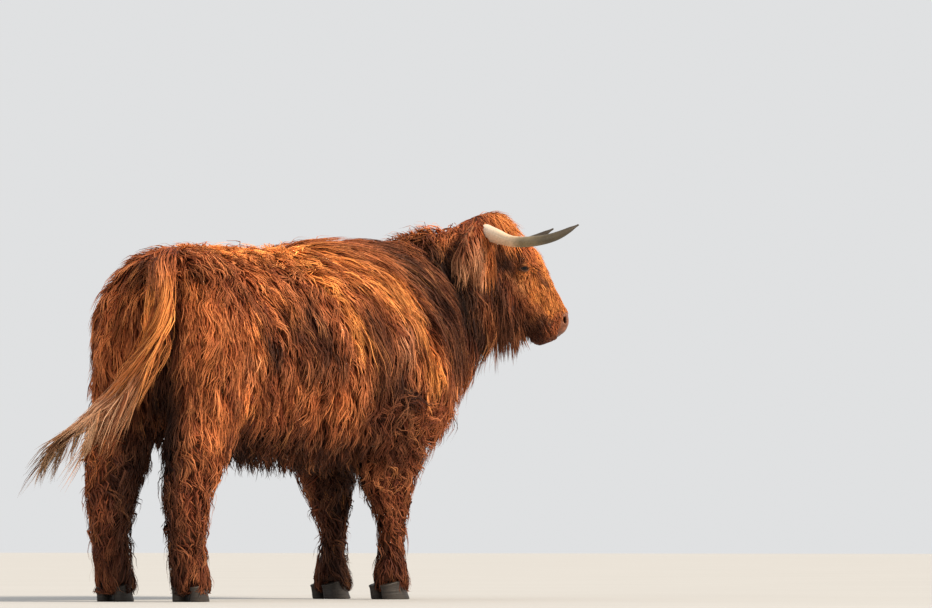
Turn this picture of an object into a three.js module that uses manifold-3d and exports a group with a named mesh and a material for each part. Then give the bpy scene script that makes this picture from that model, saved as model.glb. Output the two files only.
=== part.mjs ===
// A highland cow standing still in its long coat. The body bends to the right and the head is
// turned to that side. Every outline is drawn out to the tips of the coat.
// Lengths are millimetres: X runs forward, Y to the animal's left, Z up from the ground.

import * as THREE from 'three';
import { mergeVertices } from 'three/addons/utils/BufferGeometryUtils.js';
import Module from 'manifold-3d';

const wasm = await Module();
wasm.setup();

// ---------------------------------------------------------------- driving dimensions

const BEND = 0.44 / 1000; // turn of the spine to the right, in radians for each millimetre
const SEAM = 0.5; // thin cut between two pieces of the body
const FEET = {
  hind_left: { forward: -620, lateral: 145 },
  hind_right: { forward: -620, lateral: -125 },
  fore_left: { forward: 455, lateral: 125 },
  fore_right: { forward: 510, lateral: -125 },
};
const HIP_LATERAL = 146; // distance of the thigh's middle from the midline
const SHOULDER_LATERAL = 148; // the same of the shoulder's
const HOCK_HEIGHT = 430;
const KNEE_HEIGHT = 330;
const ROOM_MARGIN = 14; // how far a leg's share of the body runs past the leg's own shape
const ROOM_WIDTH = 450;
const HOOF = { length: 118, width: 54, height: 80, toe: 24, parting: 6 };
const POLL = new THREE.Vector3(983, -203, 1300); // top of the skull, between the horns
const HEAD_HEADING = -46.4; // degrees round from straight ahead, to the right
const HEAD_DROOP = 54; // degrees that the face points down
const HEAD_ROLL = 0.04; // the right horn hangs lower by this much of its distance out
const MUZZLE_FROM = 352; // how far down the face the muzzle begins
const EYE = { radius: 20, along: 197, above: -12, lateral: 104 };
const EAR_LENGTH = 210;
const STANDS_AT = new THREE.Vector3(-285, 146, 0); // brings the middle of the whole to the origin

const COAT_BROWN = 0x8a4f24;
const DARK_BROWN = 0x4d2c18;
const TAIL_GOLD = 0xa8703a;
const MUZZLE_PINK = 0x9a6a58;
const HORN_CREAM = 0xb9ab84;
const HOOF_GREY = 0x2e2924;
const EYE_BLACK = 0x120d0a;

// ---------------------------------------------------------------- shapes

const radians = THREE.MathUtils.degToRad;

/** Evenly spaced numbers from first to last, with both ends. */
function spread(first, last, count) {
  return Array.from({ length: count }, (_, i) => first + ((last - first) * i) / (count - 1));
}

/** A smooth run through rows of numbers that start with a place; no value overshoots its row. */
function runThrough(rows) {
  const slopeAt = (i, column) => {
    if (i === 0 || i === rows.length - 1) {
      return 0;
    }
    const before = (rows[i][column] - rows[i - 1][column]) / (rows[i][0] - rows[i - 1][0]);
    const after = (rows[i + 1][column] - rows[i][column]) / (rows[i + 1][0] - rows[i][0]);
    return before * after <= 0 ? 0 : (2 * before * after) / (before + after);
  };
  return (place) => {
    const last = rows.length - 2;
    const i = Math.min(last, Math.max(0, rows.findIndex((row) => row[0] >= place) - 1));
    const gap = rows[i + 1][0] - rows[i][0];
    const t = (place - rows[i][0]) / gap;
    return rows[i].slice(1).map((value, c) => {
      const next = rows[i + 1][c + 1];
      const leave = slopeAt(i, c + 1) * gap;
      const reach = slopeAt(i + 1, c + 1) * gap;
      const bend = (3 * (next - value) - 2 * leave - reach) * t * t;
      return value + leave * t + bend + (leave + reach - 2 * (next - value)) * t ** 3;
    });
  };
}

/** An oval loop of points: half as wide each way, reaching up by top and down by bottom. */
function oval({ centre, side, up, half, top, bottom = top, fullness = 2.4 }, sides) {
  return Array.from({ length: sides }, (_, i) => {
    const turn = (2 * Math.PI * i) / sides;
    const across = Math.sign(Math.cos(turn)) * Math.abs(Math.cos(turn)) ** (2 / fullness);
    const rise = Math.sign(Math.sin(turn)) * Math.abs(Math.sin(turn)) ** (2 / fullness);
    const reach = rise > 0 ? top : bottom;
    return centre.clone().addScaledVector(side, half * across).addScaledVector(up, reach * rise);
  });
}

/** A closed skin carried over a row of loops, with a point in the middle of each end. */
function loft(loops) {
  const sides = loops[0].length;
  const middle = (loop) => loop.reduce((sum, p) => sum.add(p), new THREE.Vector3()).divideScalar(sides);
  const points = [...loops.flat(), middle(loops[0]), middle(loops.at(-1))];
  const index = [];
  for (let i = 0; i < sides; i += 1) {
    const j = (i + 1) % sides;
    index.push(points.length - 2, j, i);
    for (let k = 0; k < loops.length - 1; k += 1) {
      const near = k * sides;
      const far = near + sides;
      index.push(near + i, near + j, far + j, near + i, far + j, far + i);
    }
    const end = (loops.length - 1) * sides;
    index.push(points.length - 1, end + i, end + j);
  }
  const geometry = new THREE.BufferGeometry().setFromPoints(points);
  geometry.setIndex(index);
  return solid(geometry);
}

/** A closed geometry as a solid that can be joined and cut, turned outward if it faces in. */
function solid(geometry) {
  geometry.deleteAttribute('normal');
  geometry.deleteAttribute('uv');
  const merged = mergeVertices(geometry, 1e-4);
  const vertProperties = merged.attributes.position.array;
  const triVerts = new Uint32Array(merged.index.array);
  const corner = (i) => new THREE.Vector3().fromArray(vertProperties, 3 * triVerts[i]);
  let volume = 0;
  for (let i = 0; i < triVerts.length; i += 3) {
    volume += corner(i).dot(corner(i + 1).cross(corner(i + 2)));
  }
  if (volume < 0) {
    triVerts.reverse();
  }
  return new wasm.Manifold(new wasm.Mesh({ numProp: 3, vertProperties, triVerts }));
}

/** A box whose near face is centred on a point and which runs from there along a direction. */
function blockBeyond(point, direction, { length, width, height }) {
  const geometry = new THREE.BoxGeometry(length, width, height);
  const ahead = direction.clone().normalize();
  const left = new THREE.Vector3(0, 0, 1).cross(ahead).normalize();
  const up = ahead.clone().cross(left);
  geometry.applyMatrix4(new THREE.Matrix4().makeBasis(ahead, left, up));
  geometry.translate(...point.clone().addScaledVector(ahead, length / 2));
  return solid(geometry);
}

/** The directions that belong to a heading and a rise, both in degrees. */
function facing(heading, rise) {
  const turn = radians(heading);
  const lift = radians(rise);
  const flat = new THREE.Vector3(Math.cos(turn), Math.sin(turn), 0);
  return {
    ahead: flat.clone().multiplyScalar(Math.cos(lift)).setZ(Math.sin(lift)),
    left: new THREE.Vector3(-Math.sin(turn), Math.cos(turn), 0),
    up: flat.clone().multiplyScalar(-Math.sin(lift)).setZ(Math.cos(lift)),
  };
}

/** Where the spine's arc runs at a distance forward of mid-body, on the ground. */
function spine(forward) {
  const turn = BEND * forward;
  const centre = new THREE.Vector3(Math.sin(turn) / BEND, (Math.cos(turn) - 1) / BEND, 0);
  return { centre, ...facing(THREE.MathUtils.radToDeg(-turn), 0) };
}

// ---------------------------------------------------------------- the body's outlines

const UPWARD = new THREE.Vector3(0, 0, 1);

// forward, half width, top of the coat, lower edge of the coat
const trunkOutline = runThrough([
  [-690, 70, 1030, 700],
  [-665, 165, 1085, 610],
  [-600, 250, 1140, 545],
  [-500, 300, 1172, 505],
  [-300, 325, 1180, 462],
  [-100, 348, 1178, 436],
  [100, 370, 1205, 412],
  [300, 370, 1225, 418],
  [500, 340, 1228, 445],
  [680, 290, 1195, 490],
  [790, 200, 1100, 560],
  [845, 100, 960, 660],
]);

function trunk() {
  const loops = spread(-690, 845, 20).map((forward) => {
    const [half, top, bottom] = trunkOutline(forward);
    const { centre, left } = spine(forward);
    const reach = (top - bottom) / 2;
    centre.setZ(bottom + reach);
    return oval({ centre, side: left, up: UPWARD, half, top: reach }, 26);
  });
  return loft(loops);
}

// height, front edge, rear edge, share of the way from over the foot to the hip, half width
const hindLegOutline = runThrough([
  [35, 68, -76, 0, 58],
  [90, 62, -86, 0, 62],
  [150, 34, -98, 0, 56],
  [220, 26, -110, 0, 60],
  [330, 42, -124, 0, 80],
  [430, 104, -120, 0.3, 102],
  [560, 206, -104, 0.7, 122],
  [700, 346, -86, 1, 134],
  [850, 400, -72, 1, 140],
  [960, 350, -50, 0.9, 132],
  [1060, 200, 0, 0.7, 90],
]);

// height, front edge, rear edge, share of the way from over the foot to the shoulder, half width
const foreLegOutline = runThrough([
  [35, 66, -70, 0, 56],
  [90, 58, -66, 0, 54],
  [150, 44, -52, 0, 43],
  [220, 39, -44, 0, 37],
  [290, 58, -64, 0, 50],
  [340, 66, -92, 0.1, 62],
  [400, 80, -124, 0.2, 84],
  [500, 130, -170, 0.6, 100],
  [620, 170, -200, 1, 118],
  [780, 200, -210, 1, 128],
  [900, 160, -180, 0.8, 105],
]);

/** A leg from the hair over its hoof up into the body. */
function leg({ feet, hip, outline, top }) {
  const loops = spread(35, top, 12).map((height) => {
    const [front, rear, share, half] = outline(height);
    const { centre, ahead, left } = spine(feet.forward + (front + rear) / 2);
    const over = THREE.MathUtils.lerp(feet.lateral, Math.sign(feet.lateral) * hip, share);
    centre.addScaledVector(left, over).setZ(height);
    const reach = (front - rear) / 2;
    return oval({ centre, side: left, up: ahead, half, top: reach }, 14);
  });
  return loft(loops);
}

/** The room that a leg takes with its share of the body: from the midline out, beyond the coat. */
function legRoom({ feet, stand, outline, top, behind }, grow) {
  const { centre, ahead, left } = spine(stand);
  const outward = Math.sign(feet.lateral);
  const loops = spread(20, top + grow, 10).map((height) => {
    const [front, rear] = outline(THREE.MathUtils.clamp(height, 35, top));
    const fore = feet.forward - stand + front + ROOM_MARGIN + grow;
    const aft = feet.forward - stand + rear - behind - grow;
    const corners = [[-grow, aft], [ROOM_WIDTH, aft], [ROOM_WIDTH, fore], [-grow, fore]];
    return corners.map(([lateral, along]) =>
      centre
        .clone()
        .setZ(height)
        .addScaledVector(left, outward * lateral)
        .addScaledVector(ahead, along),
    );
  });
  return loft(loops);
}

// share of the neck, X, Y, Z of its middle, heading, rise, half width, up, down
const neckOutline = runThrough([
  [0, 430, -45, 850, -11, 0, 280, 360, 370],
  [0.25, 590, -80, 880, -16, 4, 255, 352, 375],
  [0.5, 735, -120, 945, -25, 12, 200, 334, 345],
  [0.75, 860, -160, 1015, -36, 20, 155, 306, 215],
  [1, 950, -190, 1085, -45, 26, 125, 245, 200],
]);

function neck() {
  const loops = spread(0, 1, 9).map((share) => {
    const [x, y, z, heading, rise, half, top, bottom] = neckOutline(share);
    const { left, up } = facing(heading, rise);
    return oval({ centre: new THREE.Vector3(x, y, z), side: left, up, half, top, bottom }, 22);
  });
  return loft(loops);
}

const face = facing(HEAD_HEADING, -HEAD_DROOP);

/** A place on the head: along the face from the poll, out to the left, and up off the face. */
function onHead(along, lateral, above) {
  return POLL.clone()
    .addScaledVector(face.ahead, along)
    .addScaledVector(face.left, lateral)
    .addScaledVector(face.up, above);
}

// along the face, half width, face line above, jaw line below
const headOutline = runThrough([
  [-60, 45, -40, 85],
  [-40, 84, -10, 118],
  [-14, 106, 42, 138],
  [18, 118, 64, 158],
  [55, 126, 79, 176],
  [98, 130, 89, 188],
  [150, 128, 95, 195],
  [190, 122, 95, 190],
  [240, 110, 86, 180],
  [290, 97, 69, 160],
  [347, 86, 52, 138],
  [386, 80, 48, 124],
  [410, 78, 43, 119],
  [430, 74, 32, 117],
  [448, 62, 12, 104],
  [460, 40, -18, 80],
]);

function skull() {
  const loops = [-60, -40, ...spread(-16, 410, 13), 432, 448, 460].map((along) => {
    const [half, top, bottom] = headOutline(along);
    const centre = onHead(along, 0, (top - bottom) / 2);
    const reach = (top + bottom) / 2;
    return oval({ centre, side: face.left, up: face.up, half, top: reach }, 20);
  });
  return loft(loops);
}

// forward of the poll along the ground, half width, lower edge above the ground
const beardOutline = runThrough([
  [-60, 56, 848],
  [30, 62, 838],
  [100, 54, 848],
  [150, 36, 858],
]);
const BEARD_DEPTH = 220;

/** The curtain of hair below the jaw and throat. */
function beard() {
  const { ahead, left } = facing(HEAD_HEADING, 0);
  const loops = spread(-60, 150, 7).map((forward) => {
    const [half, lower] = beardOutline(forward);
    const reach = BEARD_DEPTH / 2;
    const centre = POLL.clone().addScaledVector(ahead, forward).setZ(lower + reach);
    return oval({ centre, side: left, up: UPWARD, half, top: reach }, 14);
  });
  return loft(loops);
}

function eye(sign, swell = 0) {
  const geometry = new THREE.SphereGeometry(EYE.radius + swell, 12, 8);
  geometry.translate(...onHead(EYE.along, sign * EYE.lateral, EYE.above));
  return solid(geometry);
}

/** A tapering piece along a curve, with its half width, upper and lower reach for each share. */
function taper(curve, outline, [first, last], count, sides, swell = 0) {
  const loops = spread(first, last, count).map((share, i) => {
    const ahead = curve.getTangentAt(share);
    const beyond = swell * ((i === count - 1) - (i === 0));
    const centre = curve.getPointAt(share).addScaledVector(ahead, beyond);
    const side = UPWARD.clone().cross(ahead).normalize();
    const up = ahead.clone().cross(side);
    const [half, top, bottom] = outline(share).map((size) => size + swell);
    return oval({ centre, side, up, half, top, bottom, fullness: 2 }, sides);
  });
  return loft(loops);
}

/** A smooth curve through places given as X, Y, Z. */
function curveThrough(places) {
  return new THREE.CatmullRomCurve3(places.map((place) => new THREE.Vector3(...place)));
}

// forward of the poll, out from the head's middle, height above the ground, round to the tip
const HORN_PLACES = [
  [-24, 55, 1266],
  [-18, 130, 1260],
  [10, 210, 1246],
  [50, 290, 1227],
  [112, 350, 1226],
  [190, 380, 1242],
  [269, 376, 1284],
];

const hornOutline = runThrough([
  [0, 30, 30, 30],
  [0.15, 28, 28, 28],
  [0.31, 25, 25, 25],
  [0.49, 19, 19, 19],
  [0.66, 17, 17, 17],
  [0.83, 14, 14, 14],
  [0.93, 9, 9, 9],
  [1, 3, 3, 3],
]);

function horn(sign, swell = 0) {
  const { ahead, left } = facing(HEAD_HEADING, 0);
  const places = HORN_PLACES.map(([forward, out, height]) =>
    POLL.clone()
      .addScaledVector(ahead, forward)
      .addScaledVector(left, sign * out)
      .setZ(height + sign * out * HEAD_ROLL)
      .toArray(),
  );
  return taper(curveThrough(places), hornOutline, [0, 1], 13, 10, swell);
}

// share of the ear, half thickness, up, down to the ends of its fringe
const earOutline = runThrough([
  [0, 20, 24, 34],
  [0.3, 28, 36, 125],
  [0.55, 30, 34, 190],
  [0.8, 24, 24, 185],
  [0.93, 16, 14, 135],
  [1, 6, 6, 70],
]);

function ear(sign, swell = 0) {
  const root = onHead(20, sign * 105, -50);
  const back = facing(HEAD_HEADING, 0).ahead.multiplyScalar(-0.45);
  const out = face.left.clone().multiplyScalar(sign * 0.85).add(back).setZ(-0.12).normalize();
  const curve = new THREE.LineCurve3(root, root.clone().addScaledVector(out, EAR_LENGTH));
  return taper(curve, earOutline, [0, 1], 8, 14, swell);
}

const TAIL_CURVE = curveThrough([
  [-590, -120, 1130],
  [-665, -150, 1080],
  [-705, -175, 1000],
  [-722, -184, 920],
  [-738, -178, 829],
  [-762, -129, 748],
  [-786, -54, 664],
  [-815, 60, 570],
  [-842, 190, 485],
  [-864, 300, 385],
]);
// share of the tail, half width, up, down to the ends of its fringe
const tailOutline = runThrough([
  [0, 44, 44, 44],
  [0.3, 44, 40, 48],
  [0.55, 36, 34, 58],
  [0.75, 28, 26, 50],
  [0.9, 22, 18, 40],
  [1, 8, 6, 14],
]);

function tail([first, last], swell = 0) {
  return taper(TAIL_CURVE, tailOutline, [first, last], Math.round(3 + 18 * (last - first)), 10, swell);
}

/** One half of a cloven hoof: flat sole, sloping front, standing on the ground. */
function claw({ feet }, half, swell = 0) {
  const { centre, ahead, left } = spine(feet.forward);
  const lateral = feet.lateral + (half * (HOOF.width + HOOF.parting)) / 2;
  const loops = spread(0, 1, 3).map((share) => {
    const slope = HOOF.toe * share;
    const height = share * (HOOF.height + 2 * swell) - swell;
    const middle = centre.clone().addScaledVector(left, lateral).addScaledVector(ahead, -slope);
    const reach = HOOF.length / 2 - slope / 2 + swell;
    const width = (HOOF.width / 2) * (1 - 0.12 * share) + swell;
    middle.setZ(height);
    return oval({ centre: middle, side: left, up: ahead, half: width, top: reach }, 12);
  });
  return loft(loops);
}

// ---------------------------------------------------------------- the pieces

const SIDES = { left: 1, right: -1 };
const HIND = {
  outline: hindLegOutline,
  hip: HIP_LATERAL,
  stand: (FEET.hind_left.forward + FEET.hind_right.forward) / 2,
  top: 1060,
  bend: HOCK_HEIGHT,
  behind: 180,
};
const FORE = {
  outline: foreLegOutline,
  hip: SHOULDER_LATERAL,
  stand: (FEET.fore_left.forward + FEET.fore_right.forward) / 2,
  top: 820,
  bend: KNEE_HEIGHT,
  behind: ROOM_MARGIN,
};
const LEGS = {
  hind_left: { feet: FEET.hind_left, ...HIND },
  hind_right: { feet: FEET.hind_right, ...HIND },
  fore_left: { feet: FEET.fore_left, ...FORE },
  fore_right: { feet: FEET.fore_right, ...FORE },
};
const TAIL_CUTS = [0, 0.33, 0.62, 1];
const BLOCK = { length: 900, width: 1200, height: 1200 }; // larger than any piece it parts
const MUZZLE_BLOCK = { length: 200, width: 300, height: 180 };
const HEAD_BLOCK = { length: 900, width: 600, height: 660 };
const UPRIGHT = new THREE.Vector3(0.02, 0, 1); // a hair off upright, so that a block has a left side

const pieces = {};

for (const [side, sign] of Object.entries(SIDES)) {
  pieces[`eye_${side}`] = { shape: eye(sign), color: EYE_BLACK };
  pieces[`horn_${side}`] = { shape: horn(sign), color: HORN_CREAM };
  pieces[`ear_${side}`] = { shape: ear(sign).subtract(horn(sign, SEAM)), color: COAT_BROWN };
}

// The whole of the flesh in its coat, with room for what is set into it.
let body = [trunk(), neck(), skull(), beard()].reduce((sum, shape) => sum.add(shape));
for (const limb of Object.values(LEGS)) {
  body = body.add(leg(limb));
}
for (const [side, sign] of Object.entries(SIDES)) {
  body = body.subtract(eye(sign, SEAM)).subtract(horn(sign, SEAM)).subtract(ear(sign, SEAM));
}
['tail_root', 'tail_middle', 'tail_switch'].forEach((name, i) => {
  const inset = SEAM / 1000;
  const span = [TAIL_CUTS[i] + inset, TAIL_CUTS[i + 1] - inset];
  pieces[name] = { shape: tail(span), color: TAIL_GOLD };
  body = body.subtract(tail(span, SEAM));
});
for (const [name, limb] of Object.entries(LEGS)) {
  for (const [place, half] of Object.entries(SIDES)) {
    pieces[`claw_${name}_${place}`] = { shape: claw(limb, half), color: HOOF_GREY };
    body = body.subtract(claw(limb, half, SEAM));
  }
}

/** Parts what lies in a block beyond a plane from the body, with a seam between. */
function part(point, direction, size = BLOCK) {
  const ahead = direction.clone().normalize();
  const start = point.clone().addScaledVector(ahead, SEAM);
  const piece = body.intersect(blockBeyond(start, ahead, size));
  const room = {
    length: size.length + 2 * SEAM,
    width: size.width + 2 * SEAM,
    height: size.height + 2 * SEAM,
  };
  body = body.subtract(blockBeyond(point, ahead, room));
  return piece;
}

const NECK_TO_HEAD = new THREE.Vector3(930, -175, 1130);
const SHOULDER_TO_NECK = new THREE.Vector3(690, -110, 980);
pieces.muzzle = {
  shape: part(onHead(MUZZLE_FROM, 0, -36), face.ahead, MUZZLE_BLOCK),
  color: MUZZLE_PINK,
};
pieces.head = {
  shape: part(NECK_TO_HEAD, facing(HEAD_HEADING, 10).ahead, HEAD_BLOCK),
  color: COAT_BROWN,
};
pieces.neck = { shape: part(SHOULDER_TO_NECK, facing(-18, 34).ahead), color: COAT_BROWN };

// Each leg takes its own side of the body within its room, from the midline out.
const limbs = Object.entries(LEGS).map(([name, limb]) => [
  name,
  limb,
  body.intersect(legRoom(limb, -SEAM / 2)),
]);
for (const limb of Object.values(LEGS)) {
  body = body.subtract(legRoom(limb, SEAM / 2));
}
pieces.trunk = { shape: body, color: COAT_BROWN };
for (const [name, limb, whole] of limbs) {
  body = whole;
  const joint = spine(limb.feet.forward).centre.setZ(limb.bend);
  pieces[`upper_leg_${name}`] = { shape: part(joint, UPRIGHT), color: COAT_BROWN };
  pieces[`lower_leg_${name}`] = { shape: body, color: DARK_BROWN };
}

/** A solid as a named mesh in its own colour. */
function mesh(name, { shape, color }) {
  const { vertProperties, triVerts } = shape.getMesh();
  const geometry = new THREE.BufferGeometry();
  geometry.setAttribute('position', new THREE.BufferAttribute(vertProperties, 3));
  geometry.setIndex(new THREE.BufferAttribute(triVerts, 1));
  const piece = new THREE.Mesh(geometry, new THREE.MeshStandardMaterial({ color, roughness: 0.8 }));
  piece.name = name;
  return piece;
}

const cow = new THREE.Group();
for (const [name, piece] of Object.entries(pieces)) {
  cow.add(mesh(name, piece));
}
cow.position.copy(STANDS_AT);

export default cow;
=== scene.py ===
"""A highland cow in its long coat, life size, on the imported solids.

Lengths are metres. X runs forward, Y to the animal's left, Z up from the floor.
"""

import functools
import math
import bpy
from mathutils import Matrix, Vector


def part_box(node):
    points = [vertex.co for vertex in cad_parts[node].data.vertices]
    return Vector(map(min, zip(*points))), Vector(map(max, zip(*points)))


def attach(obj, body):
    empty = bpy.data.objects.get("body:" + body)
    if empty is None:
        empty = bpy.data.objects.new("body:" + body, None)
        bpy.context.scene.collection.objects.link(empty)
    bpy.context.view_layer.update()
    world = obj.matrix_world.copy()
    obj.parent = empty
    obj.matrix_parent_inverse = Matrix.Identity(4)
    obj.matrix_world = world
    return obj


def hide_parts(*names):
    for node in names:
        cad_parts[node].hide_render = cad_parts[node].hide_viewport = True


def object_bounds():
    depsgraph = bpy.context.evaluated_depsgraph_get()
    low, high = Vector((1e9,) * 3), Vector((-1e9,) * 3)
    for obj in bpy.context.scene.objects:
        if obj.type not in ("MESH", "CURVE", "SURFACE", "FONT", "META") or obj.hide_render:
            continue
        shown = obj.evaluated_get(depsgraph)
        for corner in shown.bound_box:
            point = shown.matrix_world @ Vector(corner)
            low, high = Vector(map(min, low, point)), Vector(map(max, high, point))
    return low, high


bl_info = {
    "name": "Highland Cow",
    "version": (1, 0, 0),
    "blender": (4, 5, 0),
    "location": "View3D > Sidebar > Highland Cow",
    "description": "Builds a life-size highland cow: skin, eyes, horns, hooves and long coat",
    "category": "Add Mesh",
}

import bmesh
import bpy
import numpy as np
import openvdb as vdb
from bpy.props import FloatProperty, FloatVectorProperty, IntProperty, PointerProperty
from mathutils import Vector

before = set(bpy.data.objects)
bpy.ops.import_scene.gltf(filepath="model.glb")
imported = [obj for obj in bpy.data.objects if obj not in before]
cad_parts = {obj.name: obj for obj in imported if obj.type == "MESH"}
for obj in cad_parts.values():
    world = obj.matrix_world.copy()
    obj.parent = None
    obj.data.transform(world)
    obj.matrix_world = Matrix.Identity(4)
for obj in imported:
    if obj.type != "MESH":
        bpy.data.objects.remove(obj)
cad_box = [list(corner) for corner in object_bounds()]

SIDES = {"left": 1, "right": -1}
LEG_NAMES = ("hind_left", "hind_right", "fore_left", "fore_right")
BODY_NODES = ["trunk", "neck", "head", "muzzle"]
BODY_NODES += [f"{part}_leg_{leg}" for part in ("upper", "lower") for leg in LEG_NAMES]
EAR_NODES = ["ear_left", "ear_right"]
TAIL_NODES = ["tail_root", "tail_middle", "tail_switch"]

# ---------------- the build of the animal

STANDS_AT = np.array([-0.285, 0.146, 0.0])  # the ground under mid-body
BEND = 0.44  # turn of the spine to the right, radians for each metre
UPWARD = np.array([0.0, 0.0, 1.0])
# forward along the spine, left of it
FEET = {
    "hind_left": (-0.62, 0.145),
    "hind_right": (-0.62, -0.125),
    "fore_left": (0.455, 0.125),
    "fore_right": (0.51, -0.125),
}
HIP_LATERAL = 0.146
SHOULDER_LATERAL = 0.148
POLL = np.array([0.983, -0.203, 1.3]) + STANDS_AT  # the top of the head, between the horns
HEAD_HEADING = -46.4  # where the face points, degrees
HEAD_DROOP = 54.0  # and how far below level, degrees
HEAD_ROLL = 0.04  # how far the left horn is raised and the right lowered, a metre out
COS_DROOP = math.cos(math.radians(HEAD_DROOP))
SIN_DROOP = math.sin(math.radians(HEAD_DROOP))
EYE_RADIUS = 0.02
EYE_PLACE = np.array([0.197, 0.104, -0.012])  # along the face, out and above
EAR_LENGTH = 0.21
GRID_STEP = 0.008  # between the points at which distance from the solids is kept
GRID_REACH = 0.15  # how far from the solids it is kept
SKIN_STEP = 0.0122  # between the points from which the skin is drawn
FLOOR_GAP = 0.003  # hair stays this far above the floor
SEAL = 0.004  # the solids' seams are closed by going out this far and back

# height, front edge, rear edge, share of the way from over the foot to the joint, half width
HIND_LEG = [
    [0.035, 0.068, -0.076, 0, 0.058], [0.09, 0.062, -0.086, 0, 0.062],
    [0.15, 0.034, -0.098, 0, 0.056], [0.22, 0.026, -0.11, 0, 0.06], [0.33, 0.042, -0.124, 0, 0.08],
    [0.43, 0.104, -0.12, 0.3, 0.102], [0.56, 0.206, -0.104, 0.7, 0.122],
    [0.7, 0.346, -0.086, 1, 0.134], [0.85, 0.4, -0.072, 1, 0.14], [0.96, 0.35, -0.05, 0.9, 0.132],
    [1.06, 0.2, 0.0, 0.7, 0.09],
]
FORE_LEG = [
    [0.035, 0.066, -0.07, 0, 0.056], [0.09, 0.058, -0.066, 0, 0.054],
    [0.15, 0.044, -0.052, 0, 0.043], [0.22, 0.039, -0.044, 0, 0.037],
    [0.29, 0.058, -0.064, 0, 0.05], [0.34, 0.066, -0.092, 0.1, 0.062],
    [0.4, 0.08, -0.124, 0.2, 0.084], [0.5, 0.13, -0.17, 0.6, 0.1], [0.62, 0.17, -0.2, 1, 0.118],
    [0.78, 0.2, -0.21, 1, 0.128], [0.9, 0.16, -0.18, 0.8, 0.105],
]
FORE_LEG_TOP, HIND_LEG_TOP = 0.84, 1.02
# height, depth of the coat over a leg
LEG_COAT = [
    [0.03, 0.007], [0.1, 0.01], [0.16, 0.011], [0.25, 0.011], [0.34, 0.016], [0.45, 0.024],
    [0.6, 0.034], [0.8, 0.04], [1.06, 0.036],
]
# along the face, half width, height of the brow above and of the jaw below the face's line
SKULL = [
    [-0.06, 0.05, -0.05, 0.06], [-0.04, 0.074, -0.03, 0.084], [0.0, 0.09, 0.004, 0.11],
    [0.055, 0.102, 0.028, 0.13], [0.098, 0.106, 0.044, 0.142], [0.15, 0.109, 0.06, 0.15],
    [0.19, 0.106, 0.065, 0.148], [0.24, 0.092, 0.062, 0.136], [0.29, 0.08, 0.049, 0.118],
    [0.347, 0.071, 0.034, 0.104], [0.386, 0.069, 0.032, 0.1], [0.41, 0.072, 0.034, 0.108],
    [0.43, 0.07, 0.026, 0.112], [0.448, 0.058, 0.008, 0.1], [0.46, 0.038, -0.02, 0.078],
]
# centre along, out and above, half sizes, and how far each swelling of the skull is blended in
SKULL_SWELLINGS = [
    ((0.008, 0.0, 0.004), (0.026, 0.085, 0.024), 0.03),  # crown
    ((0.012, 0.068, -0.036), (0.036, 0.032, 0.034), 0.03),  # horn roots
    ((0.172, 0.082, 0.02), (0.04, 0.03, 0.026), 0.03),  # brows
    ((0.155, 0.066, -0.098), (0.075, 0.036, 0.052), 0.04),  # cheeks
    ((0.3, 0.04, 0.01), (0.1, 0.026, 0.03), 0.03),  # sides of the bridge
    ((0.428, 0.034, -0.02), (0.034, 0.034, 0.036), 0.016),  # nose
    ((0.4, 0.05, -0.052), (0.044, 0.026, 0.026), 0.018),  # upper lip
    ((0.418, 0.0, -0.092), (0.032, 0.046, 0.024), 0.014),  # chin
    (EYE_PLACE, (0.0235, 0.0235, 0.0235), 0.016),  # lids
]
# forward of mid-body, height of the belly's skin
BELLY = [
    [-0.75, 0.74], [-0.6, 0.66], [-0.45, 0.6], [-0.2, 0.555], [0.1, 0.53], [0.4, 0.535],
    [0.6, 0.565], [0.75, 0.62], [0.9, 0.7], [1.1, 0.8],
]
# forward of the poll along the ground, out from the middle, height, from root to tip
HORN_PLACES = np.array([
    [-0.024, 0.055, 1.266], [-0.018, 0.13, 1.26], [0.01, 0.21, 1.246],
    [0.05, 0.29, 1.227], [0.112, 0.35, 1.226], [0.19, 0.38, 1.242], [0.269, 0.376, 1.284],
])
HORN_RADIUS = [
    [0, 0.03], [0.15, 0.028], [0.31, 0.025], [0.49, 0.019], [0.66, 0.017], [0.83, 0.014],
    [0.93, 0.009], [1, 0.003],
]
TAIL_PLACES = np.array([
    [-0.59, -0.12, 1.13], [-0.665, -0.15, 1.08], [-0.705, -0.175, 1.0],
    [-0.722, -0.184, 0.92], [-0.738, -0.178, 0.829], [-0.762, -0.129, 0.748],
    [-0.786, -0.054, 0.664], [-0.815, 0.06, 0.57], [-0.842, 0.19, 0.485],
    [-0.864, 0.3, 0.385],
]) + STANDS_AT
# share of the tail, half width, reach up, reach down of its hair
TAIL_COAT = [
    [0, 0.044, 0.044, 0.044], [0.3, 0.044, 0.04, 0.048], [0.55, 0.036, 0.034, 0.058],
    [0.75, 0.028, 0.026, 0.05], [0.9, 0.022, 0.018, 0.04], [1, 0.008, 0.006, 0.014],
]
# share of the tail, radius of its flesh
TAIL_CORE = [[0, 0.016], [0.08, 0.026], [0.2, 0.026], [0.45, 0.018], [0.7, 0.011], [0.78, 0.005]]


# ---------------- numbers and directions

TURN = 2 * np.pi


def smooth(low, high, x):
    """0 below low, 1 above high, and between them three times the square of the share of the
    way less twice its cube."""
    t = np.clip((x - low) / (high - low), 0.0, 1.0)
    return t * t * (3.0 - 2.0 * t)


def unit(v):
    """The vectors along the last axis, each divided by its length."""
    return v / (np.linalg.norm(v, axis=-1, keepdims=True) + 1e-12)


def dot(a, b):
    """The sum of products along the last axis, with that axis kept."""
    return np.sum(a * b, axis=-1, keepdims=True)


def hump(x, breadth):
    """A bump that is 1 where x is 0: e to the power of minus the square of x over breadth."""
    return np.exp(-((x / breadth) ** 2))


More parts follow.
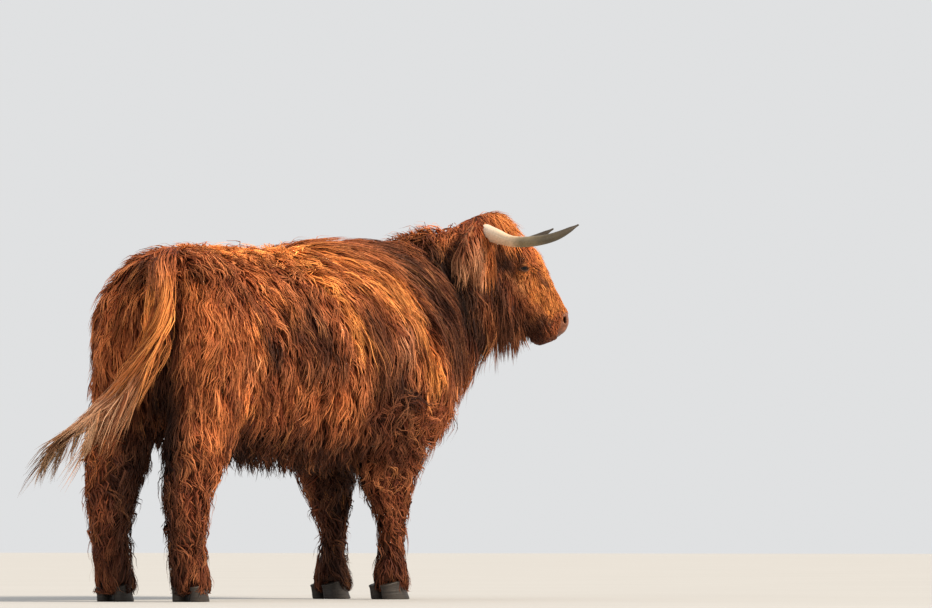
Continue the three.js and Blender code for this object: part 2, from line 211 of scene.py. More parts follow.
def run_through(rows, place):
    """A smooth run through rows that start with a place, one array for each further column:
    cubic pieces with slopes that are the harmonic mean of the two chords beside a row, and flat
    where the chords change sign."""
    rows = np.asarray(rows, float)
    x, y = rows[:, 0], rows[:, 1:]
    chord = np.diff(y, axis=0) / np.diff(x)[:, None]
    slope = np.zeros_like(y)
    before, after = chord[:-1], chord[1:]
    same = before * after > 0
    total = np.where(same, before + after, 1.0)
    slope[1:-1] = np.where(same, 2.0 * before * after / total, 0.0)
    place = np.clip(place, x[0], x[-1])
    i = np.clip(np.searchsorted(x, place) - 1, 0, len(x) - 2)
    gap = (x[i + 1] - x[i])[..., None]
    t = (place - x[i])[..., None] / gap
    leave, reach, rise = slope[i] * gap, slope[i + 1] * gap, y[i + 1] - y[i]
    bend = 3.0 * rise - 2.0 * leave - reach
    run = y[i] + leave * t + bend * t**2 + (leave + reach - 2.0 * rise) * t**3
    return np.moveaxis(run, -1, 0)


def smooth_min(a, b, k):
    """The lower of a and b. Where they differ by less than k it is a mix of the two, whose
    shares run evenly from 0 to 1, less k times the product of those shares."""
    h = np.clip(0.5 + 0.5 * (b - a) / k, 0.0, 1.0)
    return b * (1.0 - h) + a * h - k * h * (1.0 - h)


def smooth_max(a, b, k):
    """The higher of a and b, rounded over where they differ by less than k."""
    return -smooth_min(-a, -b, k)


def ripple(points, size, seed):
    """Smooth noise between about -1 and 1: the sum of seven sine waves of about one size that
    run in fixed random directions."""
    rng = np.random.default_rng(seed)
    waves = unit(rng.normal(size=(7, 3))) * (TURN / size) * rng.uniform(0.6, 1.5, (7, 1))
    return np.sin(points @ waves.T + rng.uniform(0, TURN, 7)).sum(-1) / 3.2


def facing(heading, rise):
    """The directions ahead, left and up that belong to a heading and a rise in degrees."""
    turn, lift = math.radians(heading), math.radians(rise)
    flat = np.array([math.cos(turn), math.sin(turn), 0.0])
    ahead = flat * math.cos(lift) + UPWARD * math.sin(lift)
    left = np.array([-math.sin(turn), math.cos(turn), 0.0])
    return ahead, left, UPWARD * math.cos(lift) - flat * math.sin(lift)


FACE = np.array(facing(HEAD_HEADING, -HEAD_DROOP))
FLAT_AHEAD, FLAT_LEFT, _ = facing(HEAD_HEADING, 0.0)
NECK_TO_HEAD = np.array([0.93, -0.175, 1.13]) + STANDS_AT
SHOULDER_TO_NECK = np.array([0.69, -0.11, 0.98]) + STANDS_AT
HEADWARD = facing(HEAD_HEADING, 10.0)[0]
NECKWARD = facing(-18.0, 34.0)[0]


def on_head(along, lateral, above):
    """A place on the head: along the face from the poll, out to the left, and up off the face."""
    return POLL + np.stack(np.broadcast_arrays(along, lateral, above), -1) @ FACE


def in_head(points):
    """How far along the face, out to the left and up off the face points lie."""
    return np.moveaxis((points - POLL) @ FACE.T, -1, 0)


def in_body(points):
    """How far forward along the bent spine, out to the left and high points lie. The spine is
    an arc of a circle, so forward is its radius times the turn, and left the distance beyond."""
    radius = 1.0 / BEND
    x = points[..., 0] - STANDS_AT[0]
    y = points[..., 1] - STANDS_AT[1] + radius
    return np.arctan2(x, y) * radius, np.hypot(x, y) - radius, points[..., 2]


def body_axes(forward):
    """The directions ahead and left of the spine at distances forward."""
    turn = BEND * forward
    flat = np.zeros_like(turn)
    ahead = np.stack([np.cos(turn), -np.sin(turn), flat], -1)
    return ahead, np.stack([np.sin(turn), np.cos(turn), flat], -1)


def on_body(forward, left):
    """The place on the ground at distances forward along the spine and left of it."""
    radius, turn = 1.0 / BEND, BEND * forward
    flat = np.array([math.sin(turn), math.cos(turn), 0.0]) * (radius + left)
    return STANDS_AT + flat - np.array([0.0, radius, 0.0])


def curve_through(places, count):
    """Points at even steps of length along a smooth curve through places: each piece between
    two places is the cubic whose end slopes run between their neighbours."""
    ends = np.vstack([2 * places[0] - places[1], places, 2 * places[-1] - places[-2]])
    t = np.linspace(0, 1, 40, endpoint=False)[:, None]
    runs = []
    for a, b, c, d in zip(ends, ends[1:], ends[2:], ends[3:]):
        bend = (2 * a - 5 * b + 4 * c - d) * t**2 + (3 * b - a - 3 * c + d) * t**3
        runs.append(b + 0.5 * ((c - a) * t + bend))
    line = np.vstack([*runs, places[-1:]])
    walked = np.concatenate([[0], np.cumsum(np.linalg.norm(np.diff(line, axis=0), axis=1))])
    marks = np.linspace(0, walked[-1], count)
    return np.stack([np.interp(marks, walked, line[:, k]) for k in range(3)], -1), walked[-1]


# ---------------- fields of distance


class Field:
    """Numbers on a regular grid in space, read between its points by trilinear weights."""

    def __init__(self, values, low, step):
        self.values, self.low, self.step = values, low, step
        self.top = np.array(values.shape) - 1.001

    def at(self, points):
        """The value at points."""
        place = np.clip((points - self.low) / self.step, 0, self.top)
        cell = place.astype(np.int32)
        part = place - cell
        i, j, k = cell[..., 0], cell[..., 1], cell[..., 2]
        x, y, z = part[..., 0], part[..., 1], part[..., 2]
        v = self.values
        near = v[i, j, k] * (1 - z) + v[i, j, k + 1] * z
        side = v[i, j + 1, k] * (1 - z) + v[i, j + 1, k + 1] * z
        far = v[i + 1, j, k] * (1 - z) + v[i + 1, j, k + 1] * z
        corner = v[i + 1, j + 1, k] * (1 - z) + v[i + 1, j + 1, k + 1] * z
        return (near * (1 - y) + side * y) * (1 - x) + (far * (1 - y) + corner * y) * x

    def outward(self, points):
        """The direction in which the value grows fastest."""
        return slope_of(self.at, points, self.step)


def slope_of(field, points, reach):
    """The unit direction in which a field grows: its differences over a reach each way."""
    steps = np.eye(3) * reach
    return unit(np.stack([field(points + s) - field(points - s) for s in steps], -1))


def corners_of(mesh):
    """Where the corners of a mesh are."""
    corners = np.empty(len(mesh.vertices) * 3, np.float32)
    mesh.vertices.foreach_get("co", corners)
    return corners.reshape(-1, 3)


def triangles_of(mesh):
    """The corners of each triangle of a mesh."""
    mesh.calc_loop_triangles()
    triangles = np.empty(len(mesh.loop_triangles) * 3, np.int32)
    mesh.loop_triangles.foreach_get("vertices", triangles)
    return triangles.reshape(-1, 3)


def merged(names):
    """Corners and triangles of CAD nodes taken together, with doubled corners made one."""
    meshes = [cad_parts[name].data for name in names]
    starts = np.cumsum([0] + [len(mesh.vertices) for mesh in meshes])
    corners = np.vstack([corners_of(mesh) for mesh in meshes])
    triangles = np.vstack([triangles_of(mesh) + start for mesh, start in zip(meshes, starts)])
    rounded = np.round(corners, 5)
    _, first, place = np.unique(rounded, axis=0, return_index=True, return_inverse=True)
    return corners[first], place.reshape(-1)[triangles].astype(np.int32)


def solids_field(names):
    """Distance outside the solids. They are wrapped a little way out, which closes the seams
    between them, and the distance to that wrap is put back by the same amount."""
    lay = vdb.createLinearTransform(voxelSize=GRID_STEP)
    points, triangles = merged(names)
    wrap = vdb.FloatGrid.createLevelSetFromPolygons(
        points, triangles=triangles, transform=lay, halfWidth=3
    )
    points, quads = wrap.convertToQuads(SEAL)
    grid = vdb.FloatGrid.createLevelSetFromPolygons(
        points, quads=quads, transform=lay, halfWidth=GRID_REACH / GRID_STEP
    )
    low, high = (np.array(corner) for corner in grid.evalActiveVoxelBoundingBox())
    values = np.empty(high - low + 1, np.float32)
    grid.copyToArray(values, ijk=tuple(int(v) for v in low))
    return Field(values + SEAL, low * GRID_STEP, GRID_STEP)


@functools.cache
def solids():
    """Distance outside the body's solids, worked out when it is first asked for."""
    return solids_field(BODY_NODES)


def ball(points, centre, radius):
    """Distance outside a ball."""
    return np.linalg.norm(points - centre, axis=-1) - radius


def pebble(places, centre, half):
    """About the distance outside an ellipsoid, in head places."""
    span = np.sqrt(sum(((p - c) / h) ** 2 for p, c, h in zip(places, centre, half)))
    return (span - 1.0) * min(half)


def loft_field(across, rise, half, reach, fullness):
    """About the distance outside an oval of a half width and reach: the oval's own measure of
    how far out a point is, less one, times the shorter of the two. Fullness is the power in that
    measure: 2 gives an ellipse, more a squarer oval."""
    half, reach = np.maximum(half, 0.004), np.maximum(reach, 0.004)
    span = (np.abs(across / half) ** fullness + np.abs(rise / reach) ** fullness) ** (1 / fullness)
    return (span - 1.0) * np.minimum(half, reach)


def leg_field(points, leg):
    """Distance outside the flesh of a leg: ovals at each height, inside the coat's outline."""
    forward, left, height = in_body(points)
    stand, lateral = FEET[leg]
    outline, hip, top = HIND_LEG, HIP_LATERAL, HIND_LEG_TOP
    if leg.startswith("fore"):
        outline, hip, top = FORE_LEG, SHOULDER_LATERAL, FORE_LEG_TOP
    front, rear, share, half = run_through(outline, height)
    coat, = run_through(LEG_COAT, height)
    middle = lateral + (math.copysign(hip, lateral) - lateral) * share
    along = forward - stand - (front + rear) / 2
    shape = loft_field(left - middle, along, half - coat, (front - rear) / 2 - coat, 2.2)
    return smooth_max(shape, np.maximum(0.058 - height, height - top), 0.012)


def above_mouth(along, above):
    """How far above the line of the mouth places on the head lie. The line drops towards the
    lips, and falls off behind its corner."""
    line = -0.05 - 0.012 * smooth(0.36, 0.44, along) - 0.12 * (0.4 - along) * (along < 0.4)
    return above - line


NOSTRIL = np.array([0.424, 0.052, 0.004])  # along, out and above
NOSTRIL_AXES = unit(np.array([[0.36, 0.78, 0.5], [-0.72, 0.1, 0.68], [0.0, 0.0, 0.0]]))
NOSTRIL_AXES[2] = np.cross(NOSTRIL_AXES[0], NOSTRIL_AXES[1])


def in_nostril(along, out, above):
    """How far into a nostril, up it and across it places on the head lie."""
    return (np.stack([along, out, above], -1) - NOSTRIL) @ NOSTRIL_AXES.T


def from_nostril(along, out, above):
    """How far from a nostril's middle places on the head lie, as an oval that is long one way."""
    return np.linalg.norm(in_nostril(along, out, above) * (0.6, 1.0, 1.3), axis=-1)


EYE_AHEAD = unit(np.array([0.22, 0.93, 0.26]))
EYE_UP = np.array([-0.78, 0.0, 0.55])
EYE_UP = unit(EYE_UP - EYE_AHEAD * (EYE_UP @ EYE_AHEAD))
EYE_AXES = np.array([np.cross(EYE_UP, EYE_AHEAD), EYE_UP, EYE_AHEAD])


def in_eye(along, out, above):
    """How far level across an eye, up it and ahead of its middle places on the head lie."""
    return np.moveaxis((np.stack([along, out, above], -1) - EYE_PLACE) @ EYE_AXES.T, -1, 0)


def from_eye(along, out, above):
    """How far from an eye's middle places on the head lie."""
    return np.linalg.norm(np.stack([along, out, above], -1) - EYE_PLACE, axis=-1)


def skull_field(points):
    """Distance outside the head's skin: ovals along the face, swollen at the brow, the horn
    roots, the cheeks, the nose and the chin, and cut in at the eyes, the nostrils and mouth."""
    along, lateral, above = in_head(points)
    out = np.abs(lateral)
    half, top, bottom = run_through(SKULL, along)
    shape = loft_field(lateral, above - (top - bottom) / 2, half, (top + bottom) / 2, 2.5)
    shape = smooth_max(shape, along - 0.462, 0.03)
    shape = smooth_max(shape, -0.044 - along, 0.03)
    places = (along, out, above)
    for centre, size, blend in SKULL_SWELLINGS:
        shape = smooth_min(shape, pebble(places, centre, size), blend)
    # The eye's opening is a level oval, cut in from the front of the eye.
    level, high, ahead = in_eye(*places)
    opening = (np.hypot(level / 0.0165, (high + 0.0015) / 0.0092) - 1.0) * 0.0092
    shape = smooth_max(shape, -smooth_max(opening, 0.004 - ahead, 0.002), 0.0015)
    # The mouth is a groove, and the lips swell a little on both sides of it.
    off = above_mouth(along, above)
    near = smooth(0.345, 0.38, along)
    shape = shape + near * 0.006 * hump(off, 0.0042)
    shape = shape - near * 0.0022 * hump(np.abs(off) - 0.011, 0.006)
    # Each nostril is a comma that opens forward and out, with a raised wing round it.
    into, tall, wide = np.moveaxis(in_nostril(*places), -1, 0)
    hook = wide + 0.004 - 22.0 * tall**2
    hole = np.sqrt((into / 0.02) ** 2 + (tall / 0.0125) ** 2 + (hook / 0.007) ** 2)
    shape = shape - 0.003 * hump(hole - 1.5, 0.45) * (along > 0.37)
    shape = smooth_max(shape, -(hole - 1.0) * 0.0075, 0.0025)
    # A shallow dent parts the nose in the middle.
    dent = hump(lateral, 0.0045) * smooth(0.43, 0.45, along)
    return shape + 0.0018 * dent * smooth(-0.06, -0.03, above)


def in_ear(points, side):
    """How far out along an ear points lie, as a share of its length, and how far across it and
    up it. An ear points out from its side of the head, back and a little down."""
    sign = SIDES[side]
    out = FACE[1] * sign * 0.85 - FLAT_AHEAD * 0.45
    out[2] = -0.12
    out = unit(out)
    across = unit(np.cross(UPWARD, out))
    offset = points - on_head(0.02, sign * 0.105, -0.05)
    return offset @ out / EAR_LENGTH, offset @ across, offset @ np.cross(out, across)


def ear_field(points, side):
    """Distance outside an ear's leaf: a thin oval that is widest at two fifths of its length."""
    share, across, rise = in_ear(points, side)
    leaf = np.clip(share + 0.12, 0.0, 1.0)
    high = 0.012 + 0.04 * np.sin(np.pi * leaf**0.8) ** 0.7
    thick = 0.018 - 0.009 * leaf
    shape = loft_field(across, rise + 0.008 + 0.02 * share, thick, high, 2.0)
    return smooth_max(shape, np.maximum(share - 0.88, -0.2 - share) * EAR_LENGTH, 0.012)


def tail_field(points, balls=90):
    """Distance outside the tail's flesh: balls of its radius all along the tail's curve, as far
    as the flesh goes."""
    line, _ = curve_through(TAIL_PLACES, balls)
    share = np.linspace(0, 1, balls)
    radius, = run_through(TAIL_CORE, share)
    keep = share < TAIL_CORE[-1][0]
    best = np.full(points.shape[:-1], 1.0)
    for centre, size in zip(line[keep], radius[keep]):
        best = np.minimum(best, ball(points, centre, size))
    return best


def past_neck(points):
    """How far forward of the place where the neck joins the head points lie."""
    return (points - NECK_TO_HEAD) @ HEADWARD


def past_shoulder(points):
    """How far up the neck from the shoulder points lie."""
    return (points - SHOULDER_TO_NECK) @ NECKWARD


def coat_depth(points):
    """How deep the coat lies over the trunk and neck: deeper on the neck than on the back, and
    so deep past the jaw that the body's own field ends there."""
    forward, _, height = in_body(points)
    depth = 0.044 - 0.014 * smooth(1.02, 1.16, height) * smooth(0.7, 0.4, forward)
    depth = depth + 0.014 * smooth(0.62, 0.85, forward)
    return depth + 0.22 * smooth(-0.05, 0.06, past_neck(points))


def rod(points, start, end, first, last):
    """Distance outside a rod with round ends, whose radius runs from first to last."""
    run = end - start
    share = np.clip((points - start) @ run / (run @ run), 0.0, 1.0)
    nearest = start + share[..., None] * run
    return np.linalg.norm(points - nearest, axis=-1) - (first + (last - first) * share)


# start, end, radius at the start and at the end
CREST = (np.array([0.8, -0.14, 1.12]) + STANDS_AT, on_head(0.026, 0.0, -0.048), 0.11, 0.064)
THROAT = (np.array([0.8, -0.145, 0.94]) + STANDS_AT, on_head(0.09, 0.0, -0.09), 0.13, 0.08)


def neck_field(points):
    """Distance outside the neck's own flesh, which joins the body to the back of the skull."""
    return smooth_min(rod(points, *CREST), rod(points, *THROAT), 0.06)


def skin_field(points):
    """Distance outside the skin of the whole animal."""
    forward, left, height = in_body(points)
    body = solids().at(points) + coat_depth(points)
    belly, = run_through(BELLY, forward)
    body = smooth_max(body, belly + 0.3 * left**2 - height, 0.06)
    for leg in LEG_NAMES:
        body = smooth_min(body, leg_field(points, leg), 0.03)
    body = smooth_min(body, neck_field(points), 0.05)
    body = smooth_min(body, skull_field(points), 0.02)
    for side in SIDES:
        body = smooth_min(body, ear_field(points, side), 0.012)
    return smooth_min(body, tail_field(points), 0.016)


def settle(points, field, reach=0.0015, most=0.006):
    """Points moved onto the place where a field is zero, by two steps along its slope."""
    for _ in range(2):
        shift = np.clip(field(points), -most, most)[:, None]
        points = points - shift * slope_of(field, points, reach)
    return points


def near_tail_or_ears(points, reach=0.03):
    """Whether points lie in or near a box round the tail's or an ear's solids."""
    close = np.zeros(points.shape[:-1], bool)
    for name in TAIL_NODES + EAR_NODES:
        low, high = (np.array(corner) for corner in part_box(name))
        close |= np.all((points > low - reach) & (points < high + reach), axis=-1)
    return close


# Where the skin is made finer, in three rounds: along the face beyond, above its line beyond
FINER = ((-0.03, -0.28), (0.35, -0.28), (0.385, -0.12))
FINE_ROUND_EYE = 0.05
FAR_OUTSIDE = 0.05  # what the skin's field holds where it isn't worked out


def skin_surface():
    """Corners and faces of the skin: the zero of its field on a grid, then finer over the head,
    the muzzle and the nose and round the eyes, with every corner settled onto the field."""
    low, high = np.array(cad_box[0]) - 0.03, np.array(cad_box[1]) + 0.03
    start = np.floor(low / SKIN_STEP).astype(int)
    count = np.ceil(high / SKIN_STEP).astype(int) - start + 1
    axes = [(start[k] + np.arange(count[k])) * SKIN_STEP for k in range(3)]
    values = np.full(count, FAR_OUTSIDE, np.float32)
    grid = np.stack(np.meshgrid(*axes, indexing="ij"), -1)
    near = (solids().at(grid) < 0.03) | near_tail_or_ears(grid)
    values[near] = skin_field(grid[near])
    volume = vdb.FloatGrid(FAR_OUTSIDE)
    volume.transform = vdb.createLinearTransform(voxelSize=SKIN_STEP)
    volume.copyFromArray(values, ijk=tuple(int(v) for v in start))
    points, quads = volume.convertToQuads(0.0)
    mesh = bmesh.new()
    data = bpy.data.meshes.new("skin_cage")
    data.from_pydata(points.tolist(), [], quads[:, ::-1].tolist())
    mesh.from_mesh(data)
    bpy.data.meshes.remove(data)
    for past, over in FINER:
        mesh.verts.ensure_lookup_table()
        along, lateral, above = in_head(np.array([v.co for v in mesh.verts]))
        out = np.abs(lateral)
        fine = (along > past) & (out < 0.2) & (along < 0.6) & (above > over)
        fine |= from_eye(along, out, above) < FINE_ROUND_EYE
        edges = [e for e in mesh.edges if fine[e.verts[0].index] and fine[e.verts[1].index]]
        bmesh.ops.subdivide_edges(mesh, edges=edges, cuts=1, use_grid_fill=True)
        mesh.verts.index_update()
        settled = settle(np.array([v.co for v in mesh.verts]), skin_field)
        for vert, place in zip(mesh.verts, settled):
            vert.co = place
    bmesh.ops.triangulate(mesh, faces=[f for f in mesh.faces if len(f.verts) > 4])
    bmesh.ops.recalc_face_normals(mesh, faces=mesh.faces)
    return mesh


# ---------------- the coat's colours, with painted light and shade

GOLD = (0.88, 0.33, 0.08)
RUST = (0.4, 0.128, 0.046)
UMBER = (0.1, 0.034, 0.016)
# near black, the colour of painted shade in hollows, under the body and behind the ears
SHADE_BLACK = (0.022, 0.011, 0.008)
ORANGE = (0.84, 0.26, 0.06)
PALE = (0.74, 0.43, 0.25)
OLIVE = (0.17, 0.1, 0.048)

# Strokes of colour, each from one place to another, with its breadth, colour and strength.
# On the sides a place is how far forward of mid-body and how high it lies.
# Painted light and shade: the gold strokes along the back, shoulder and chest are painted highlight
# over sun-bleached hair, and the umber and near-black strokes are painted shade in hollows of the
# flank and shoulder, between the mane's locks, under the neck and jaw, round the elbow and under
# the belly.
SIDE_MARKS = [
    (-0.42, 1.18, 0.06, 1.18, 0.065, GOLD, 0.95), (-0.03, 1.13, 0.14, 0.86, 0.04, GOLD, 1.0),
    (0.14, 1.13, 0.36, 1.02, 0.06, GOLD, 0.85), (0.36, 1.08, 0.47, 0.94, 0.036, GOLD, 0.85),
    (0.48, 0.9, 0.57, 0.74, 0.04, GOLD, 0.95), (-0.36, 1.03, -0.22, 0.93, 0.055, ORANGE, 0.45),
    (-0.47, 0.9, -0.44, 0.62, 0.04, ORANGE, 0.4), (-0.2, 0.72, 0.1, 0.64, 0.07, ORANGE, 0.22),
    (-0.13, 0.95, -0.06, 0.86, 0.045, UMBER, 0.95), (-0.38, 0.83, -0.33, 0.81, 0.034, SHADE_BLACK, 0.9),
    (-0.05, 0.81, 0.03, 0.79, 0.032, SHADE_BLACK, 0.8), (0.19, 0.93, 0.33, 0.78, 0.05, UMBER, 0.8),
    (-0.24, 0.9, -0.06, 0.85, 0.055, UMBER, 0.8), (0.28, 0.74, 0.46, 0.52, 0.09, UMBER, 0.85),
    (0.36, 0.92, 0.38, 0.84, 0.026, PALE, 0.3), (-0.52, 0.86, -0.5, 0.6, 0.07, ORANGE, 0.24),
    (-0.49, 0.78, -0.47, 0.72, 0.03, PALE, 0.25), (0.43, 1.2, 0.57, 0.96, 0.062, UMBER, 0.95),
    (0.49, 1.14, 0.56, 1.03, 0.032, SHADE_BLACK, 0.85), (0.56, 1.08, 0.72, 0.82, 0.07, UMBER, 0.92),
    (0.58, 1.245, 0.78, 1.27, 0.032, ORANGE, 0.55), (0.66, 1.16, 0.9, 0.88, 0.11, UMBER, 0.92),
    (0.72, 1.16, 0.82, 1.0, 0.05, SHADE_BLACK, 0.9), (0.62, 1.02, 0.78, 0.84, 0.035, SHADE_BLACK, 0.6),
    (0.8, 0.98, 0.92, 0.88, 0.05, SHADE_BLACK, 0.7), (0.35, 0.73, 0.46, 0.66, 0.04, SHADE_BLACK, 0.8),
    (0.22, 0.61, 0.3, 0.56, 0.04, SHADE_BLACK, 0.65), (-0.45, 0.53, 0.3, 0.49, 0.05, SHADE_BLACK, 0.75),
    (-0.3, 0.78, 0.0, 0.74, 0.05, UMBER, 0.55),
]
# On the rump a place is how far out from the tail's root and how high it lies.
TAIL_ROOT_LEFT = -0.04  # how far left of the spine the tail's root lies
# Painted shade: the near-black strokes darken the hollow beside the tail's root and the hair under
# the hanging tail.
REAR_MARKS = [
    (0.07, 1.035, 0.09, 1.0, 0.03, ORANGE, 0.6), (0.1, 1.09, 0.1, 1.03, 0.04, SHADE_BLACK, 0.95),
    (0.02, 0.98, 0.02, 0.6, 0.05, SHADE_BLACK, 0.8), (0.02, 0.62, 0.02, 0.45, 0.08, SHADE_BLACK, 0.75),
    (0.16, 0.98, 0.24, 0.5, 0.1, ORANGE, 0.3),
]
# On the head a place is how far along the face from the poll and how far above its line.
# Painted light and shade: the gold strokes are painted highlights over golden hair on the bridge,
# down the face, over the crown, below the eye and at its inner corner; the umber and near-black
# strokes are painted shade under the jaw and cheek, behind the eye, at the mouth's corner and in a
# parting of the hair beside the bridge.
FACE_MARKS = [
    (0.2, 0.075, 0.4, 0.032, 0.022, GOLD, 0.85), (0.3, 0.02, 0.37, 0.008, 0.02, GOLD, 0.7),
    (0.205, -0.045, 0.25, -0.032, 0.028, GOLD, 0.75), (0.05, -0.13, 0.3, -0.18, 0.08, UMBER, 0.95),
    (0.36, -0.078, 0.41, -0.105, 0.028, SHADE_BLACK, 0.85),
    (0.08, -0.04, 0.15, -0.06, 0.035, UMBER, 0.85), (0.38, -0.06, 0.43, -0.055, 0.022, UMBER, 0.6),
    (-0.02, 0.03, 0.1, 0.06, 0.055, GOLD, 0.6), (0.12, -0.01, 0.175, -0.006, 0.022, SHADE_BLACK, 0.8),
    (0.245, 0.03, 0.31, 0.026, 0.01, UMBER, 0.9), (0.26, -0.005, 0.37, -0.033, 0.02, GOLD, 0.9),
    (0.03, -0.07, 0.14, -0.08, 0.04, SHADE_BLACK, 0.8), (0.4, -0.04, 0.43, -0.045, 0.014, UMBER, 0.8),
    (0.25, -0.11, 0.34, -0.14, 0.04, SHADE_BLACK, 0.55), (0.205, 0.002, 0.222, 0.008, 0.014, GOLD, 1.0),
    (0.4, -0.115, 0.46, -0.09, 0.03, UMBER, 0.85), (0.08, 0.025, 0.17, 0.05, 0.03, ORANGE, 0.7),
    (0.215, -0.06, 0.255, -0.04, 0.022, PALE, 0.25),
]
# Down the tail: a colour, its strength, and the heights between which it comes in.
TAIL_COLOURS = [
    (GOLD, 0.72, 1.04, 0.96), (RUST, 0.6, 0.84, 0.74), (PALE, 0.9, 0.7, 0.64),
    (OLIVE, 0.8, 0.585, 0.54),
]


def mix(colours, colour, share):
    """Colours moved towards one colour by a share at each place."""
    return colours + (np.array(colour) - colours) * np.clip(share, 0, 1)[..., None]


def strokes(colours, x, y, marks, where):
    """Colours with strokes laid over them, where they hold: each is full on the line between its
    ends and falls off with the distance from that line, as a hump of its breadth does."""
    for x0, y0, x1, y1, breadth, colour, strength in marks:
        dx, dy = x1 - x0, y1 - y0
        share = np.clip(((x - x0) * dx + (y - y0) * dy) / (dx * dx + dy * dy + 1e-9), 0, 1)
        away = ((x - x0 - share * dx) ** 2 + (y - y0 - share * dy) ** 2) / breadth**2
        colours = mix(colours, colour, strength * where * np.exp(-away))
    return colours


def markings_and_painted_light(points, on_ear=False):
    """The coat's colour at places, with painted light and shade: rust, lighter towards the top of
    the back as sun-bleached hair under painted light, with strokes of gold along the back and
    shoulder that are painted highlight on sun-bleached hair, darkened as painted shade below the
    body, down the legs, under the belly, in hollows and under the neck, orange down the face with
    gold strokes of painted highlight, and dark at the tail's end. What grows on the ears is orange
    to pale; what lies behind and below them is darkened as painted shade. The tail goes from gold
    through rust and pale hair to olive, and all of it is a little patchy."""
    forward, left, height = in_body(points)
    colours = np.broadcast_to(np.array(RUST), points.shape).copy()
    # Painted light on sun-bleached hair: the coat is up to a quarter lighter towards the top of the
    # back, which faces the light.
    colours = colours * (1 + 0.25 * smooth(0.85, 1.1, height))[..., None]
    along, lateral, above = in_head(points)
    head = smooth(0.0, 0.06, past_neck(points)) * smooth(0.22, 0.17, np.abs(lateral))
    rear = smooth(-0.56, -0.62, forward)
    blur = 0.02 * ripple(points, 0.09, 31)
    colours = strokes(colours, forward + blur, height + blur, SIDE_MARKS, (1 - head) * (1 - rear))
    # Painted shade: the coat is darkened below the body and down the legs, more near the ground.
    colours = mix(colours, UMBER, (0.48 - 0.1 * (forward < 0)) * smooth(0.6, 0.36, height))
    colours = mix(colours, SHADE_BLACK, 0.3 * smooth(0.3, 0.05, height))
    colours = strokes(colours, np.abs(left - TAIL_ROOT_LEFT), height + blur, REAR_MARKS, rear)
    # Painted shade under the belly, between the legs.
    inner = smooth(0.17, 0.08, np.abs(left)) * smooth(0.7, 0.52, height)
    colours = mix(colours, SHADE_BLACK, 0.75 * (inner * smooth(0.9, 0.7, forward)))
    colours = strokes(colours, along + blur, above + blur, FACE_MARKS, head)
    for side in SIDES:
        share, across, rise = in_ear(points, side)
        ear = smooth(0.02, 0.2, share) * smooth(0.085, 0.05, np.abs(across))
        ear = ear * smooth(1.4, 1.1, share) * smooth(-0.26, -0.18, rise) * smooth(0.1, 0.06, rise)
        # Painted shade: the hair behind and below each ear is darkened; the ear's own hair goes
        # orange to pale.
        colours = mix(colours, SHADE_BLACK, 0.8 * ear * (1 - on_ear))
        colours = mix(colours, ORANGE, 0.4 * ear * on_ear)
        colours = mix(colours, PALE, 0.44 * ear * on_ear * smooth(0.45, 0.75, share + 15 * blur))
    tail = smooth(0.1, 0.05, np.min([ball(points, place, 0.0) for place in TAIL_PLACES], axis=0))
    tail = tail * smooth(-0.66, -0.7, forward)
    for colour, strength, above, below in TAIL_COLOURS:
        colours = mix(colours, colour, strength * tail * smooth(above, below, height))
    patchy = 0.14 + 0.14 * (1 - head)
    return np.clip(colours * (1.0 + patchy * ripple(points, 0.1, 5))[..., None], 0.004, 1.0)


# ---------------- the lie of the coat


def turned(directions, normals, angle):
    """Directions turned about the normals by an angle at each place."""
    angle = np.asarray(angle)[..., None]
    return directions * np.cos(angle) + np.cross(normals, directions) * np.sin(angle)


WHORL = (0.212, 0.098, 0.012)  # along, out and above: where the face's hair fans out
MOST_SHIFT = 0.02  # how far a step of a tuft's path may be set right at most


